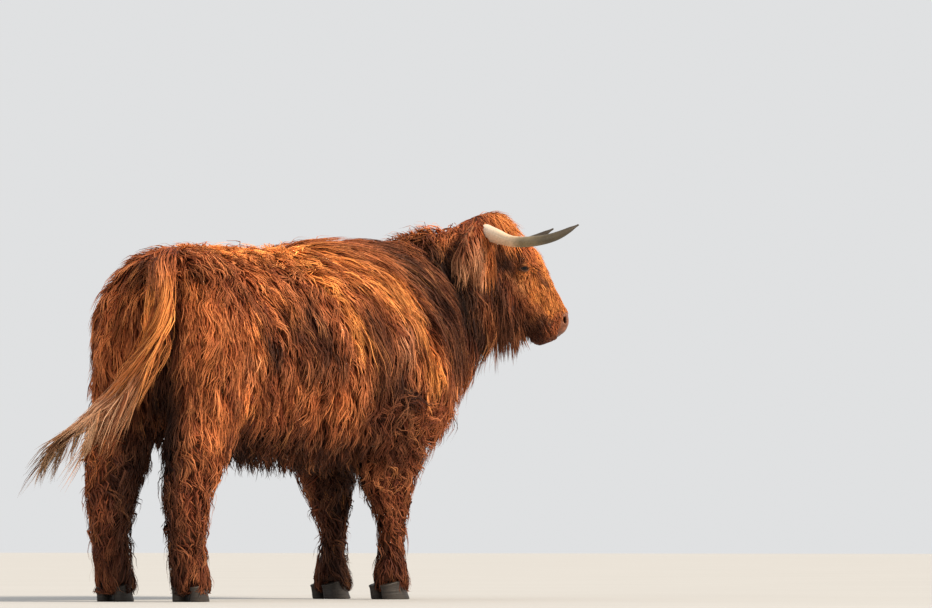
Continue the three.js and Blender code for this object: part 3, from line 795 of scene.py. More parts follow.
def lie(points, normals):
    """Which way the coat runs: off the midline and down over the trunk, forward and down on the
    shoulder and the elbow, back on the back, down the neck, over the brow and down the face, out
    from a whorl before each eye. It wanders by smooth noise, and most where the coat is curly."""
    forward, left, height = in_body(points)
    ahead, leftward = body_axes(forward)
    side = np.tanh(left / 0.06)[:, None]
    level = smooth(0.35, 0.95, normals[:, 2])
    flat = level[:, None]
    lean = smooth(-0.06, 0.1, forward) * smooth(0.74, 0.96, height)
    lean = 0.58 * lean + 0.6 * lean * level
    lean = lean - 0.14 * smooth(-0.3, -0.5, forward)
    lean = lean - 0.3 * level * smooth(0.1, -0.06, forward)
    elbow = 0.5 * smooth(0.16, 0.26, forward) * smooth(0.62, 0.5, forward)
    lean = lean + elbow * smooth(0.74, 0.64, height)
    flow = -UPWARD * (1.0 - 0.6 * flat) + side * leftward * flat * 1.1 + ahead * lean[:, None]
    neck = smooth(-0.06, 0.1, past_shoulder(points))[:, None]
    out = np.tanh((points - POLL) @ FLAT_LEFT / 0.05)[:, None]
    mane = -UPWARD * (1.0 - 0.5 * flat) + out * FLAT_LEFT * flat * 0.9
    mane = mane + FLAT_AHEAD * (0.26 - 0.7 * flat)
    flow = flow * (1 - neck) + mane * neck
    along, lateral, above = in_head(points)
    aside = np.sign(lateral)
    head = smooth(-0.03, 0.05, past_neck(points)) * smooth(0.2, 0.16, np.abs(lateral))
    crown = smooth(0.12, 0.02, along)[:, None] * smooth(-0.06, 0.0, above)[:, None]
    face = FACE[0] * 0.8 - UPWARD * 0.35
    over = FACE[0] * 0.9 + aside[:, None] * FACE[1] * 0.3 + UPWARD * 0.15
    face = face * (1 - crown) + crown * over
    beside = smooth(0.03, 0.07, np.abs(lateral)) * smooth(0.1, 0.04, along)
    face = face - UPWARD * 0.9 * (beside * smooth(0.05, -0.02, above))[:, None]
    cheek = smooth(-0.05, -0.09, above) * smooth(0.34, 0.25, along)
    face = face - (UPWARD * 0.5 + FLAT_AHEAD * 0.1) * cheek[:, None]
    away = np.stack([along - WHORL[0], lateral - WHORL[1] * aside, above - WHORL[2]], -1)
    near = hump(np.linalg.norm(away, axis=-1), 0.045) * smooth(0.19, 0.21, along)
    near = near[:, None]
    face = face * (1 - near) + near * 1.2 * unit(away) @ FACE
    flow = flow * (1 - head[:, None]) + face * head[:, None]
    flow = unit(flow - normals * dot(flow, normals))
    curly = smooth(1.06, 1.13, height) * smooth(0.1, 0.0, forward) * smooth(-0.5, -0.42, forward)
    low = smooth(0.72, 0.62, height) * smooth(0.3, 0.42, height)
    curly = curly + smooth(0.2, 0.3, forward) * low
    wander = 0.3 * ripple(points, 0.3, 11) + 0.26 * ripple(points, 0.11, 12)
    wander = wander + 0.9 * curly * ripple(points, 0.075, 13)
    return turned(flow, normals, wander * (1.0 - 0.6 * head))


def grow(roots, normals, make, steps):
    """Paths of tufts. Each walks from its root in equal steps along the lie of the coat, turned
    by its own stray angle, lifts off until it rides at its share of the coat's depth, and leans
    to the ground as far as it is free. It stays outside the skin and above the floor. The path
    is smoothed and swings from side to side in waves that grow from the root. Curls may stand a
    little beyond the solids; the rest of the hair that isn't free is drawn back to them."""
    length, rise, slack, free = make["length"], make["rise"], make["slack"], make["free"]
    loose = free[:, None]
    place = roots
    path, across = [place], []
    start = solids().at(roots)
    step = (length / steps)[:, None]
    heading = turned(lie(roots, normals), normals, make["stray"])
    for k in range(steps):
        share = (k + 0.5) / steps
        out = solids().outward(place)
        out = unit(out * (1 - loose) + normals * loose + 1e-6)
        lying = turned(lie(place, out), out, make["stray"])
        heading = unit(0.45 * heading + 0.55 * lying)
        drop = (free * smooth(-0.15, 0.4, share) + slack * share**2)[:, None]
        lift = rise * (1.0 - smooth(0.05, 0.5, share))
        course = heading * (1 - np.minimum(drop, 0.97)) - UPWARD * drop + out * lift[:, None]
        course = unit(course)
        place = place + course * step
        level = start * (1.0 - rise * smooth(0.0, 0.42, share))
        now = solids().at(place)
        fix = np.where(now > level, now - level, 0.6 * (now - level)) * (1 - free)
        fix = np.where(free > 0.5, np.maximum(now + 0.002, 0.0) * (free < 1.5), fix)
        place = place - out * np.clip(fix * 0.7, -MOST_SHIFT, MOST_SHIFT)[:, None]
        sunk = np.maximum(0.6 * make["width"] - skin_field(place), 0.0)[:, None]
        place = place + slope_of(skin_field, place, 0.004) * np.minimum(sunk, MOST_SHIFT)
        place[:, 2] = np.maximum(place[:, 2], FLOOR_GAP)
        path.append(place)
        across.append(unit(np.cross(course, out)))
    path = np.stack(path, 1)
    for _ in range(2 if steps > 3 else 0):
        path[:, 1:-1] = 0.5 * path[:, 1:-1] + 0.25 * (path[:, :-2] + path[:, 2:])
    across = np.stack([across[0], *across], 1)
    share = np.linspace(0, 1, steps + 1)
    waves = make["waves"][:, None]
    turns = share * (length / make["span"])[:, None] * TURN + waves
    swing = make["curl"][:, None] * (np.sin(turns) - np.sin(waves)) * smooth(0, 0.35, share)
    path = path + across * swing[..., None]
    flat = path.reshape(-1, 3)
    most = np.repeat(0.005 + 0.9 * make["curl"], steps + 1)
    outside = np.clip(solids().at(flat) - most, 0.0, 0.05) * np.repeat(free < 0.5, steps + 1)
    return (flat - solids().outward(flat) * outside[:, None]).reshape(path.shape)


CELL = 0.02  # sides of the cells in which neighbouring roots are dealt out


def scatter(points, triangles, weight, count, rng):
    """Roots spread evenly over triangles in proportion to their area times a weight: triangles
    are taken in an order that visits neighbours together, and the roots at even steps of the
    running total. Gives each root's place, normal and triangle."""
    corner = points[triangles]
    cross = np.cross(corner[:, 1] - corner[:, 0], corner[:, 2] - corner[:, 0])
    area = np.linalg.norm(cross, axis=1) * 0.5
    middle = corner.mean(1)
    cell = ((middle - middle.min(0)) / CELL).astype(np.uint64)
    code = np.zeros(len(cell), np.uint64)
    for bit in range(8):
        for axis in range(3):
            mark = (cell[:, axis] >> np.uint64(bit)) & np.uint64(1)
            code |= mark << np.uint64(3 * bit + axis)
    order = np.argsort(code, kind="stable")
    total = np.cumsum((area * weight)[order])
    marks = (np.arange(count) + rng.uniform(0, 1, count)) / count * total[-1]
    pick = order[np.minimum(np.searchsorted(total, marks), len(order) - 1)]
    a, b = np.sqrt(rng.uniform(0, 1, count)), rng.uniform(0, 1, count)
    place = corner[pick, 0] * (1 - a)[:, None] + corner[pick, 1] * (a * (1 - b))[:, None]
    place = place + corner[pick, 2] * (a * b)[:, None]
    return place, unit(cross[pick]), pick


LOW_SHARE = 0.25  # how many of the tufts round a guide lie low
WISP_SHARE = 0.08  # how many lift away


def tufts(guides, normals, make, kids, rng):
    """Tufts that grow round each guide and close in on it: each is the guide moved aside by an
    offset that shrinks along its length, cut shorter or left longer, turned a little and swung.
    The first of those round each guide lie low, and a few lift away as wisps. Gives the paths,
    the guide of each, and which are fine rather than low."""
    count, rings = guides.shape[:2]
    who = np.repeat(np.arange(count), kids)
    total = len(who)
    turn = rng.uniform(0, TURN, total)
    reach = np.sqrt(rng.uniform(0.02, 1, total)) * make["stand"][who]
    first = unit(guides[who, 2] - guides[who, 0])
    fine = np.tile(np.arange(kids) >= kids * LOW_SHARE, count)
    out = normals[who]
    side = unit(np.cross(first, out))
    ahead = np.cross(out, side)
    offset = side * (np.cos(turn) * reach)[:, None]
    offset = offset + ahead * (np.sin(turn) * reach * 1.6)[:, None]
    share = np.linspace(0, 1, rings)
    longer = rng.uniform(0.55, 1.08, total)[:, None]
    stretched = np.clip(share * longer, 0, 1) * (rings - 1)
    low = np.minimum(stretched.astype(int), rings - 2)
    part = (stretched - low)[..., None]
    path = guides[who[:, None], low] * (1 - part) + guides[who[:, None], low + 1] * part
    gather = make["gather"][who][:, None]
    close = 1.0 - gather * smooth(0.0, 0.7, share) + 0.3 * gather * smooth(0.7, 1.0, share)
    path = path + offset[:, None, :] * close[..., None]
    swing = make["jitter"][who][:, None] * smooth(0, 0.6, share)
    phase = rng.uniform(0, TURN, (total, 2))
    beat = rng.uniform(0.6, 2.0, total)[:, None] * share * TURN
    drift = make["length"][who][:, None] * share * 0.1 * rng.normal(size=(total, 1))
    path = path + side[:, None] * (np.sin(beat + phase[:, :1]) * swing + drift)[..., None]
    path = path + out[:, None] * (np.sin(beat * 0.8 + phase[:, 1:]) * swing * 0.6)[..., None]
    lift = np.where(fine, 0.8, -1.2) + 4.0 * (rng.uniform(0, 1, total) < WISP_SHARE)
    path = path + out[:, None] * (lift[:, None] * swing)[..., None]
    path[..., 2] = np.maximum(path[..., 2], FLOOR_GAP)
    return path, who, fine


BAKE_SQUARE = 0.003  # side of a tuft's square in the map OFBake


def tuft_mesh(name, sets, on_ear=False):
    """A closed mesh of tufts, from sets of paths with the directions out of the coat, widths,
    tones and places on the skin's unwrap. Each tuft is a three-sided sliver carried along its
    path: two edges lie across it and one stands out. Its width swells as a quarter of a sine
    wave from 0.55 at the root to 1 half way, times one less the 2.6th power of the share of its
    length, so that it runs to a point. Its map called Strand runs across and along the tuft,
    and OFBake holds it as a small square at its root's place."""
    points, all_quads, all_triangles, maps, total = [], [], [], [], 0
    edge = np.arange(3)
    after = (edge + 1) % 3
    for paths, outs, widths, tones, spots in sets:
        count, rings = paths.shape[:2]
        share = np.linspace(0, 1, rings)
        along = unit(np.gradient(paths, axis=1))
        flat = unit(outs - along * dot(outs, along))
        side = np.cross(along, flat)
        swell = (0.55 + 0.45 * np.sin(np.pi * np.minimum(2 * share, 1) / 2)) * (1 - share**2.6)
        half = (widths[:, None] * swell * 0.5)[..., None]
        edges = [paths + side * half, paths + flat * half * 0.45, paths - side * half]
        body = np.stack(edges, axis=2)[:, :-1].reshape(count, -1, 3)
        points.append(np.concatenate([body, paths[:, -1:]], axis=1).reshape(-1, 3))
        size = (rings - 1) * 3 + 1
        ring = np.arange(rings - 2)[:, None] * 3
        quads = np.stack([ring + edge, ring + after, ring + 3 + after, ring + 3 + edge], -1)
        last = (rings - 2) * 3
        tip = np.stack([last + edge, last + after, np.full(3, size - 1)], -1)
        base = (total + np.arange(count) * size)[:, None, None]
        all_quads.append((quads.reshape(-1, 4) + base).reshape(-1, 4))
        all_triangles.append((np.vstack([tip, [[2, 1, 0]]]) + base).reshape(-1, 3))
        strand = np.empty((count, size, 2))
        strand[:, :-1, 0] = np.tile([0.0, 0.5, 1.0], rings - 1)
        strand[:, :-1, 1] = np.repeat(share[:-1], 3)
        strand[:, -1] = (0.5, 1.0)
        square = np.clip(spots, 0.004, 0.996)[:, None, :] + (strand - 0.5) * BAKE_SQUARE
        colours = np.repeat(markings_and_painted_light(paths[:, rings // 2], on_ear), size, axis=0)
        maps.append([strand.reshape(-1, 2), square.reshape(-1, 2), np.repeat(tones, size), colours])
        total += count * size
    mesh = new_mesh(name, *(np.vstack(rows) for rows in (points, all_quads, all_triangles)))
    strand, square, tone, colour = (np.concatenate(values) for values in zip(*maps))
    put_map(mesh, "Strand", strand)
    put_map(mesh, "OFBake", square)
    put_numbers(mesh, "Tone", tone)
    put_colours(mesh, "MarkingsAndPaintedLight", colour)
    return mesh


def new_mesh(name, points, quads, triangles):
    """A mesh from whole arrays of corners, four-sided faces and three-sided faces."""
    mesh = bpy.data.meshes.new(name)
    quads = np.asarray(quads, np.int32).reshape(-1, 4)
    triangles = np.asarray(triangles, np.int32).reshape(-1, 3)
    mesh.vertices.add(len(points))
    mesh.vertices.foreach_set("co", np.asarray(points, np.float32).ravel())
    mesh.loops.add(quads.size + triangles.size)
    corners = np.concatenate([quads.ravel(), triangles.ravel()]).astype(np.int32)
    mesh.loops.foreach_set("vertex_index", corners)
    mesh.polygons.add(len(quads) + len(triangles))
    starts = np.arange(len(quads)) * 4
    starts = np.concatenate([starts, quads.size + np.arange(len(triangles)) * 3])
    mesh.polygons.foreach_set("loop_start", starts.astype(np.int32))
    mesh.update(calc_edges=True)
    mesh.polygons.foreach_set("use_smooth", np.ones(len(mesh.polygons), bool))
    return mesh


def outward(mesh):
    """Turns every face of a closed mesh outwards."""
    work = bmesh.new()
    work.from_mesh(mesh)
    bmesh.ops.recalc_face_normals(work, faces=work.faces)
    work.to_mesh(mesh)
    work.free()


def put_map(mesh, name, places):
    """A UV map from one place for each corner point of a mesh."""
    corners = np.empty(len(mesh.loops), np.int32)
    mesh.loops.foreach_get("vertex_index", corners)
    layer = mesh.uv_layers.new(name=name)
    layer.uv.foreach_set("vector", np.asarray(places, np.float32)[corners].ravel())


def put_numbers(mesh, name, values):
    """A number kept at each corner point of a mesh."""
    layer = mesh.attributes.new(name, "FLOAT", "POINT")
    layer.data.foreach_set("value", np.asarray(values, np.float32).ravel())


def put_colours(mesh, name, values):
    """A colour kept at each corner point of a mesh."""
    layer = mesh.attributes.new(name, "FLOAT_COLOR", "POINT")
    full = np.ones((len(values), 4), np.float32)
    full[:, :3] = values
    layer.data.foreach_set("color", full.ravel())


def add_piece(name, mesh, material):
    """A mesh as a piece of the animal, in its material."""
    piece = bpy.data.objects.new(name, mesh)
    bpy.context.scene.collection.objects.link(piece)
    mesh.materials.append(material)
    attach(piece, "root")
    return piece


# ---------------- the coat by region

TRUNK, SKULL_PART, EAR_PART, TAIL_PART, LEG_PART = range(5)
LEG_PART_TOP = 0.56


def part_at(points):
    """Which part of the animal the skin belongs to: the part whose own field is lowest. What
    lies higher on a leg than its coat goes belongs to the trunk."""
    body = np.minimum(solids().at(points) + coat_depth(points), neck_field(points))
    legs = np.min([leg_field(points, leg) for leg in LEG_NAMES], axis=0)
    legs = np.where(points[:, 2] > LEG_PART_TOP, 1.0, legs)
    ears = np.minimum(ear_field(points, "left"), ear_field(points, "right"))
    return np.argmin([body, skull_field(points), ears, tail_field(points), legs], axis=0)


# What the coat is like in each region: length, width, rise (share of the coat's depth at which
# it rides), slack (how far it sags towards its tip), free (how far it hangs), curl and its span,
# how far tufts stand round their guide, how they gather, their jitter, stray and number.
MAKE = ("length", "width", "rise", "slack", "free", "curl", "span", "stand", "gather", "jitter",
        "stray", "number")
REGIONS = {
    "trunk": (0.14, 0.0048, 0.9, 0.14, 0.0, 0.0065, 0.1, 0.022, 0.72, 0.0026, 0.15, 1.0),
    "back": (0.11, 0.004, 0.84, 0.06, 0.0, 0.013, 0.075, 0.018, 0.66, 0.0036, 0.85, 1.3),
    "rump": (0.13, 0.0044, 0.9, 0.12, 0.0, 0.0055, 0.09, 0.022, 0.68, 0.0024, 0.13, 1.1),
    "shoulder": (0.23, 0.0046, 0.92, 0.14, 0.0, 0.006, 0.13, 0.022, 0.72, 0.0026, 0.12, 1.2),
    "elbow": (0.17, 0.0044, 1.3, 0.06, 0.1, 0.032, 0.11, 0.018, 0.9, 0.0036, 0.85, 1.4),
    "under": (0.15, 0.0046, 0.9, 0.2, 1.0, 0.008, 0.09, 0.018, 0.8, 0.0034, 0.2, 0.8),
    "neck": (0.2, 0.0046, 0.9, 0.28, 0.0, 0.0065, 0.13, 0.022, 0.74, 0.003, 0.12, 1.1),
    "throat": (0.235, 0.0046, 0.95, 0.3, 1.7, 0.005, 0.13, 0.02, 0.6, 0.0036, 0.15, 1.6),
    "leg": (0.125, 0.0046, 1.1, 0.16, 0.1, 0.014, 0.095, 0.02, 0.86, 0.003, 0.3, 1.5),
    "foot": (0.12, 0.0036, 0.95, 0.3, 0.4, 0.004, 0.08, 0.01, 0.6, 0.0022, 0.14, 2.2),
    "head": (0.048, 0.0021, 0.8, 0.08, 0.0, 0.001, 0.06, 0.009, 0.5, 0.0005, 0.06, 4.8),
    "brow": (0.135, 0.0032, 0.98, 0.36, 0.25, 0.004, 0.1, 0.013, 0.9, 0.0014, 0.12, 3.4),
    "jaw": (0.145, 0.0038, 0.9, 0.25, 1.7, 0.004, 0.11, 0.014, 0.62, 0.0028, 0.14, 3.8),
    "gullet": (0.205, 0.0038, 0.9, 0.25, 1.7, 0.004, 0.11, 0.014, 0.62, 0.0028, 0.14, 3.8),
    "crown": (0.15, 0.0034, 0.84, 0.1, 0.0, 0.003, 0.12, 0.011, 0.72, 0.0013, 0.08, 3.6),
    "crest": (0.13, 0.004, 0.96, 0.1, 0.0, 0.007, 0.11, 0.022, 0.6, 0.004, 0.3, 3.2),
    "chin": (0.024, 0.0018, 0.6, 0.05, 0.0, 0.0004, 0.06, 0.004, 0.3, 0.0004, 0.1, 7.0),
    "eyelid": (0.018, 0.0018, 0.6, 0.05, 0.0, 0.0006, 0.06, 0.004, 0.4, 0.0004, 0.1, 7.0),
    "ear": (0.185, 0.004, 1.1, 0.25, 1.55, 0.007, 0.12, 0.012, 0.88, 0.0026, 0.12, 2.6),
    "ear edge": (0.11, 0.004, 1.0, 0.25, 0.7, 0.006, 0.12, 0.016, 0.7, 0.0034, 0.35, 4.5),
}


def nose_pad(along, above):
    """How far places on the head belong to the bare nose and lips: those in front of an upright
    line through the nostrils' rear ends, between the top of the nose and the lower lip."""
    ahead = along * COS_DROOP + above * SIN_DROOP
    down = along * SIN_DROOP - above * COS_DROOP
    inside = smooth(0.236, 0.249, ahead + 0.3 * (down - 0.34))
    return inside * smooth(0.296, 0.312, down) * smooth(0.402, 0.39, down)


def regions_at(points, normals, part):
    """How far each region of the coat holds at places, from 0 to 1."""
    forward, _, height = in_body(points)
    along, lateral, above = in_head(points)
    trunk, leg, head, ear = (part == kind for kind in (TRUNK, LEG_PART, SKULL_PART, EAR_PART))
    neck = trunk * smooth(-0.02, 0.12, past_shoulder(points))
    back = smooth(1.04, 1.12, height) * smooth(0.12, 0.0, forward) * smooth(-0.5, -0.4, forward)
    elbow = smooth(0.2, 0.3, forward) * smooth(0.78, 0.66, height) * smooth(0.34, 0.44, height)
    upward = smooth(0.25, 0.7, normals[:, 2])
    below = head * smooth(-0.07, -0.11, above)
    return {
        "back": trunk * back,
        "rump": trunk * smooth(-0.4, -0.56, forward),
        "shoulder": trunk * smooth(0.0, 0.12, forward) * smooth(0.76, 0.9, height),
        "elbow": elbow,
        "under": trunk * smooth(-0.25, -0.7, normals[:, 2]),
        "neck": neck,
        "throat": neck * smooth(-0.1, -0.6, normals[:, 2]) * smooth(-0.1, 0.0, past_neck(points)),
        "leg": leg * smooth(0.62, 0.46, height),
        "foot": leg * smooth(0.22, 0.13, height),
        "head": 1.0 * head,
        "brow": head * smooth(0.17, 0.12, along) * smooth(-0.05, -0.01, above),
        "jaw": below * smooth(0.4, 0.34, along),
        "gullet": below * smooth(0.33, 0.24, along),
        "crown": head * smooth(0.09, 0.04, along) * smooth(-0.07, -0.03, above),
        "chin": head * smooth(0.34, 0.38, along),
        "crest": neck * upward,
        "eyelid": head * smooth(0.048, 0.028, from_eye(along, np.abs(lateral), above)),
        "ear": 1.0 * ear,
        "ear edge": ear * upward,
    }


def coat_at(points, normals, part):
    """The coat's make at roots: from the trunk's values towards each region's in turn. The hair
    that would cross an eye is cut to end above it, the nose, nostrils and eyes are bare, and the
    tail's own hair is made apart."""
    values = np.tile(np.array(REGIONS["trunk"]), (len(points), 1))
    for name, share in regions_at(points, normals, part).items():
        values = values + (np.array(REGIONS[name]) - values) * share[:, None]
    make = dict(zip(MAKE, values.T))
    along, lateral, above = in_head(points)
    places = (along, np.abs(lateral), above)
    head = part == SKULL_PART
    level, high, ahead = in_eye(*places)
    over = head & (high > -0.002) & (np.abs(level) < 0.021) & (ahead > 0)
    room = np.where(over, np.maximum(high - 0.003, 0.005), np.inf)
    make["length"] = np.minimum(make["length"], room)
    nostril = smooth(0.017, 0.013, from_nostril(*places))
    eye = smooth(0.021, 0.018, from_eye(*places))
    bare = head * np.maximum.reduce([nose_pad(along, above), nostril, eye])
    make["number"] = make["number"] * (1 - bare) * (part != TAIL_PART)
    return make


def between(low, high, sign):
    """Picks the trunk between two distances forward, on one side of the spine."""
    def pick(places, part):
        forward, left, _ = in_body(places)
        return (part == TRUNK) & (forward >= low) & (forward < high) & (left * sign >= 0)
    return pick


def of_part(wanted, sign=0, fore=0):
    """Picks a part of the animal, on one side of the head or at one end of the body where a
    sign is given."""
    def pick(places, part):
        keep = part == wanted
        if sign:
            keep &= (places - POLL) @ FLAT_LEFT * sign >= 0
        if fore:
            keep &= in_body(places)[0] * fore >= 0
        return keep
    return pick


def round_spine(low, high):
    """An unwrap of the trunk: forward along the spine, and the turn round it from below."""
    def place(points):
        forward, left, height = in_body(points)
        turn = np.arctan2(height - 0.82, np.abs(left)) / np.pi + 0.5
        return np.stack([(forward - low) / (high - low), turn], -1)
    return place


def turn_share(up, across):
    """A direction as a share of the whole turn."""
    return np.arctan2(up, across) / TURN + 0.5


def side_by_side(turn, second):
    """Two turns laid beside each other."""
    return turn * 0.48 + 0.5 * second + 0.01


def round_head(points):
    """An unwrap of the head: along the face, and the turn round it."""
    along, lateral, above = in_head(points)
    return np.stack([(along + 0.1) / 0.58, turn_share(above + 0.045, lateral)], -1)


def round_legs(points):
    """An unwrap of two legs side by side: up them, and the turn round each."""
    forward, left, height = in_body(points)
    middle = np.where(forward > 0, 0.46, -0.64)
    turn = turn_share(np.abs(left) - 0.135, forward - middle)
    return np.stack([side_by_side(turn, left > 0), height / 0.6], -1)


def round_ears(points):
    """An unwrap of the ears side by side: out along each, and the turn round it."""
    left = (points - POLL) @ FLAT_LEFT > 0
    pairs = zip(in_ear(points, "left"), in_ear(points, "right"))
    share, across, rise = (np.where(left, a, b) for a, b in pairs)
    return np.stack([side_by_side(turn_share(rise, across), left), (share + 0.15) / 1.1], -1)


# which part of the skin, its unwrap, number of tufts, tufts round a guide, rings of each tuft
COAT_PIECES = {
    "coat_rump_right": (between(-9, -0.36, -1), round_spine(-0.75, -0.36), 4000, 9, 6),
    "coat_rump_left": (between(-9, -0.36, 1), round_spine(-0.75, -0.36), 2900, 9, 6),
    "coat_flank_right": (between(-0.36, 0.1, -1), round_spine(-0.36, 0.1), 3900, 9, 7),
    "coat_flank_left": (between(-0.36, 0.1, 1), round_spine(-0.36, 0.1), 2500, 9, 6),
    "coat_shoulder_right": (between(0.1, 0.56, -1), round_spine(0.1, 0.56), 3900, 9, 7),
    "coat_shoulder_left": (between(0.1, 0.56, 1), round_spine(0.1, 0.56), 2500, 9, 6),
    "coat_mane_right": (between(0.56, 9, -1), round_spine(0.56, 1.1), 3400, 8, 7),
    "coat_mane_left": (between(0.56, 9, 1), round_spine(0.56, 1.1), 2300, 8, 6),
    "coat_head_right": (of_part(SKULL_PART, -1), round_head, 6000, 6, 5),
    "coat_head_left": (of_part(SKULL_PART, 1), round_head, 4200, 6, 5),
    "coat_ears": (of_part(EAR_PART), round_ears, 1300, 10, 7),
    "coat_hind_legs": (of_part(LEG_PART, 0, -1), round_legs, 3700, 8, 6),
    "coat_fore_legs": (of_part(LEG_PART, 0, 1), round_legs, 3300, 8, 6),
}
# For each layer: its share of a piece's tufts, steps of its paths (None: the piece's own), tufts
# round a guide (None: the piece's own), what its make is times, and its tone.
TIMES = ("length", "width", "rise", "stand", "gather", "jitter")
# The under layer's low tone is painted shade: its broad tufts lie beneath the finer hair and are
# darkened for it.
LAYERS = {
    "under": (0.25, 3, 1, 0.75, 2.5, 0.5, 1.0, 1.0, 1.0, 0.3),
    "coat": (0.86, None, None, 1.0, 1.0, 1.0, 1.0, 1.0, 1.0, 0.48),
    "locks": (0.14, None, 7, 1.22, 0.95, 1.06, 0.5, 1.16, 0.6, 0.66),
}


HEAD_CALM = 0.55  # how much tufts of the head differ in tone and facing, against the body's
MOST_GATHER = 0.94


def grow_coat(name, skin):
    """One piece of the coat: broad low tufts that hide the skin, darkened as painted shade, over
    them guides with finer tufts round each, of which those that lie low are darkened as painted
    shade too, and last a few longer, lighter locks that part from the rest. Length, rise, curl,
    stray, width, tone and facing vary at random, the last two less on the head."""
    pick, unwrap, total, kids, rings = COAT_PIECES[name]
    settings = bpy.context.scene.cow_coat
    rng = np.random.default_rng(settings.seed + sorted(COAT_PIECES).index(name))
    points, triangles, middles, facings, part = skin
    chosen = pick(middles, part)
    calm = HEAD_CALM if name.startswith("coat_head") else 1.0
    weight = coat_at(middles[chosen], facings[chosen], part[chosen])["number"]
    sets = []
    for layer, (share, steps, round_guide, *times, tone) in LAYERS.items():
        round_guide = round_guide or kids
        count = int(total * settings.fullness * share / round_guide)
        roots, normals, where = scatter(points, triangles[chosen], weight, count, rng)
        normals = unit(0.5 * normals + 0.5 * slope_of(skin_field, roots, 0.01))
        make = coat_at(roots, normals, part[chosen][where])
        for key, factor in zip(TIMES, times):
            make[key] = make[key] * factor
        make["gather"] = np.minimum(make["gather"], MOST_GATHER)
        make["length"] = make["length"] * rng.uniform(0.62, 1.12, count) * settings.length
        hollow = 1.0 + 0.26 * ripple(roots, 0.13, 41)
        make["rise"] = make["rise"] * rng.uniform(0.6, 1.04, count) * np.minimum(hollow, 1.06)
        make["waves"] = 2.2 * ripple(roots, 0.22, 21) + rng.uniform(-1.2, 1.2, count)
        make["curl"] = make["curl"] * rng.uniform(0.5, 1.5, count) * settings.wave
        make["stray"] = make["stray"] * rng.normal(size=count)
        paths = grow(roots, normals, make, steps or rings - 1)
        who, fine = np.arange(count), np.ones(count, bool)
        if layer != "under":
            paths, who, fine = tufts(paths, normals, make, round_guide, rng)
        widths = make["width"][who] * np.where(fine, 0.9, 1.7) * rng.uniform(0.7, 1.3, len(who))
        patchy = calm * (0.15 + 2.5 * make["curl"]) * rng.normal(size=count)
        patchy = 0.1 * ripple(roots, 0.1, 43) + patchy
        tones = tone + 0.12 * (1.0 - calm) + patchy[who]
        # Painted shade: the tufts that lie low round a guide are darker than the rest.
        tones = tones + 0.07 * calm * rng.normal(size=len(who)) - np.where(fine, 0, 0.12)
        outs = solids().outward(paths.reshape(-1, 3)).reshape(paths.shape)
        outs = unit(outs + 0.35 * calm * rng.normal(size=(len(who), 1, 3)))
        sets.append([paths, outs, widths, np.clip(tones, 0, 1), unwrap(paths[:, 0])])
    mesh = tuft_mesh(name, sets, name == "coat_ears")
    return add_piece(name, mesh, coat_material())


TAIL_TUFTS, TAIL_KIDS, TAIL_RINGS = 1900, 10, 8  # in all, round a guide, and rings of each
TAIL_WIDTHS = (0.003, 0.006)
TAIL_SEED = 40  # keeps the tail's random numbers apart from the other pieces'
# The wisps at the tail's end: where on the tail each starts, how much of it each spans, its sag
WISPS_FROM = 0.58
WISPS = np.array([
    [0.6, 0.1, 0.105], [0.68, 0.09, 0.115], [0.755, 0.09, 0.1], [0.83, 0.08, 0.075],
    [0.56, 0.26, 0.004], [0.66, 0.3, 0.008], [0.74, 0.28, 0.045],
])


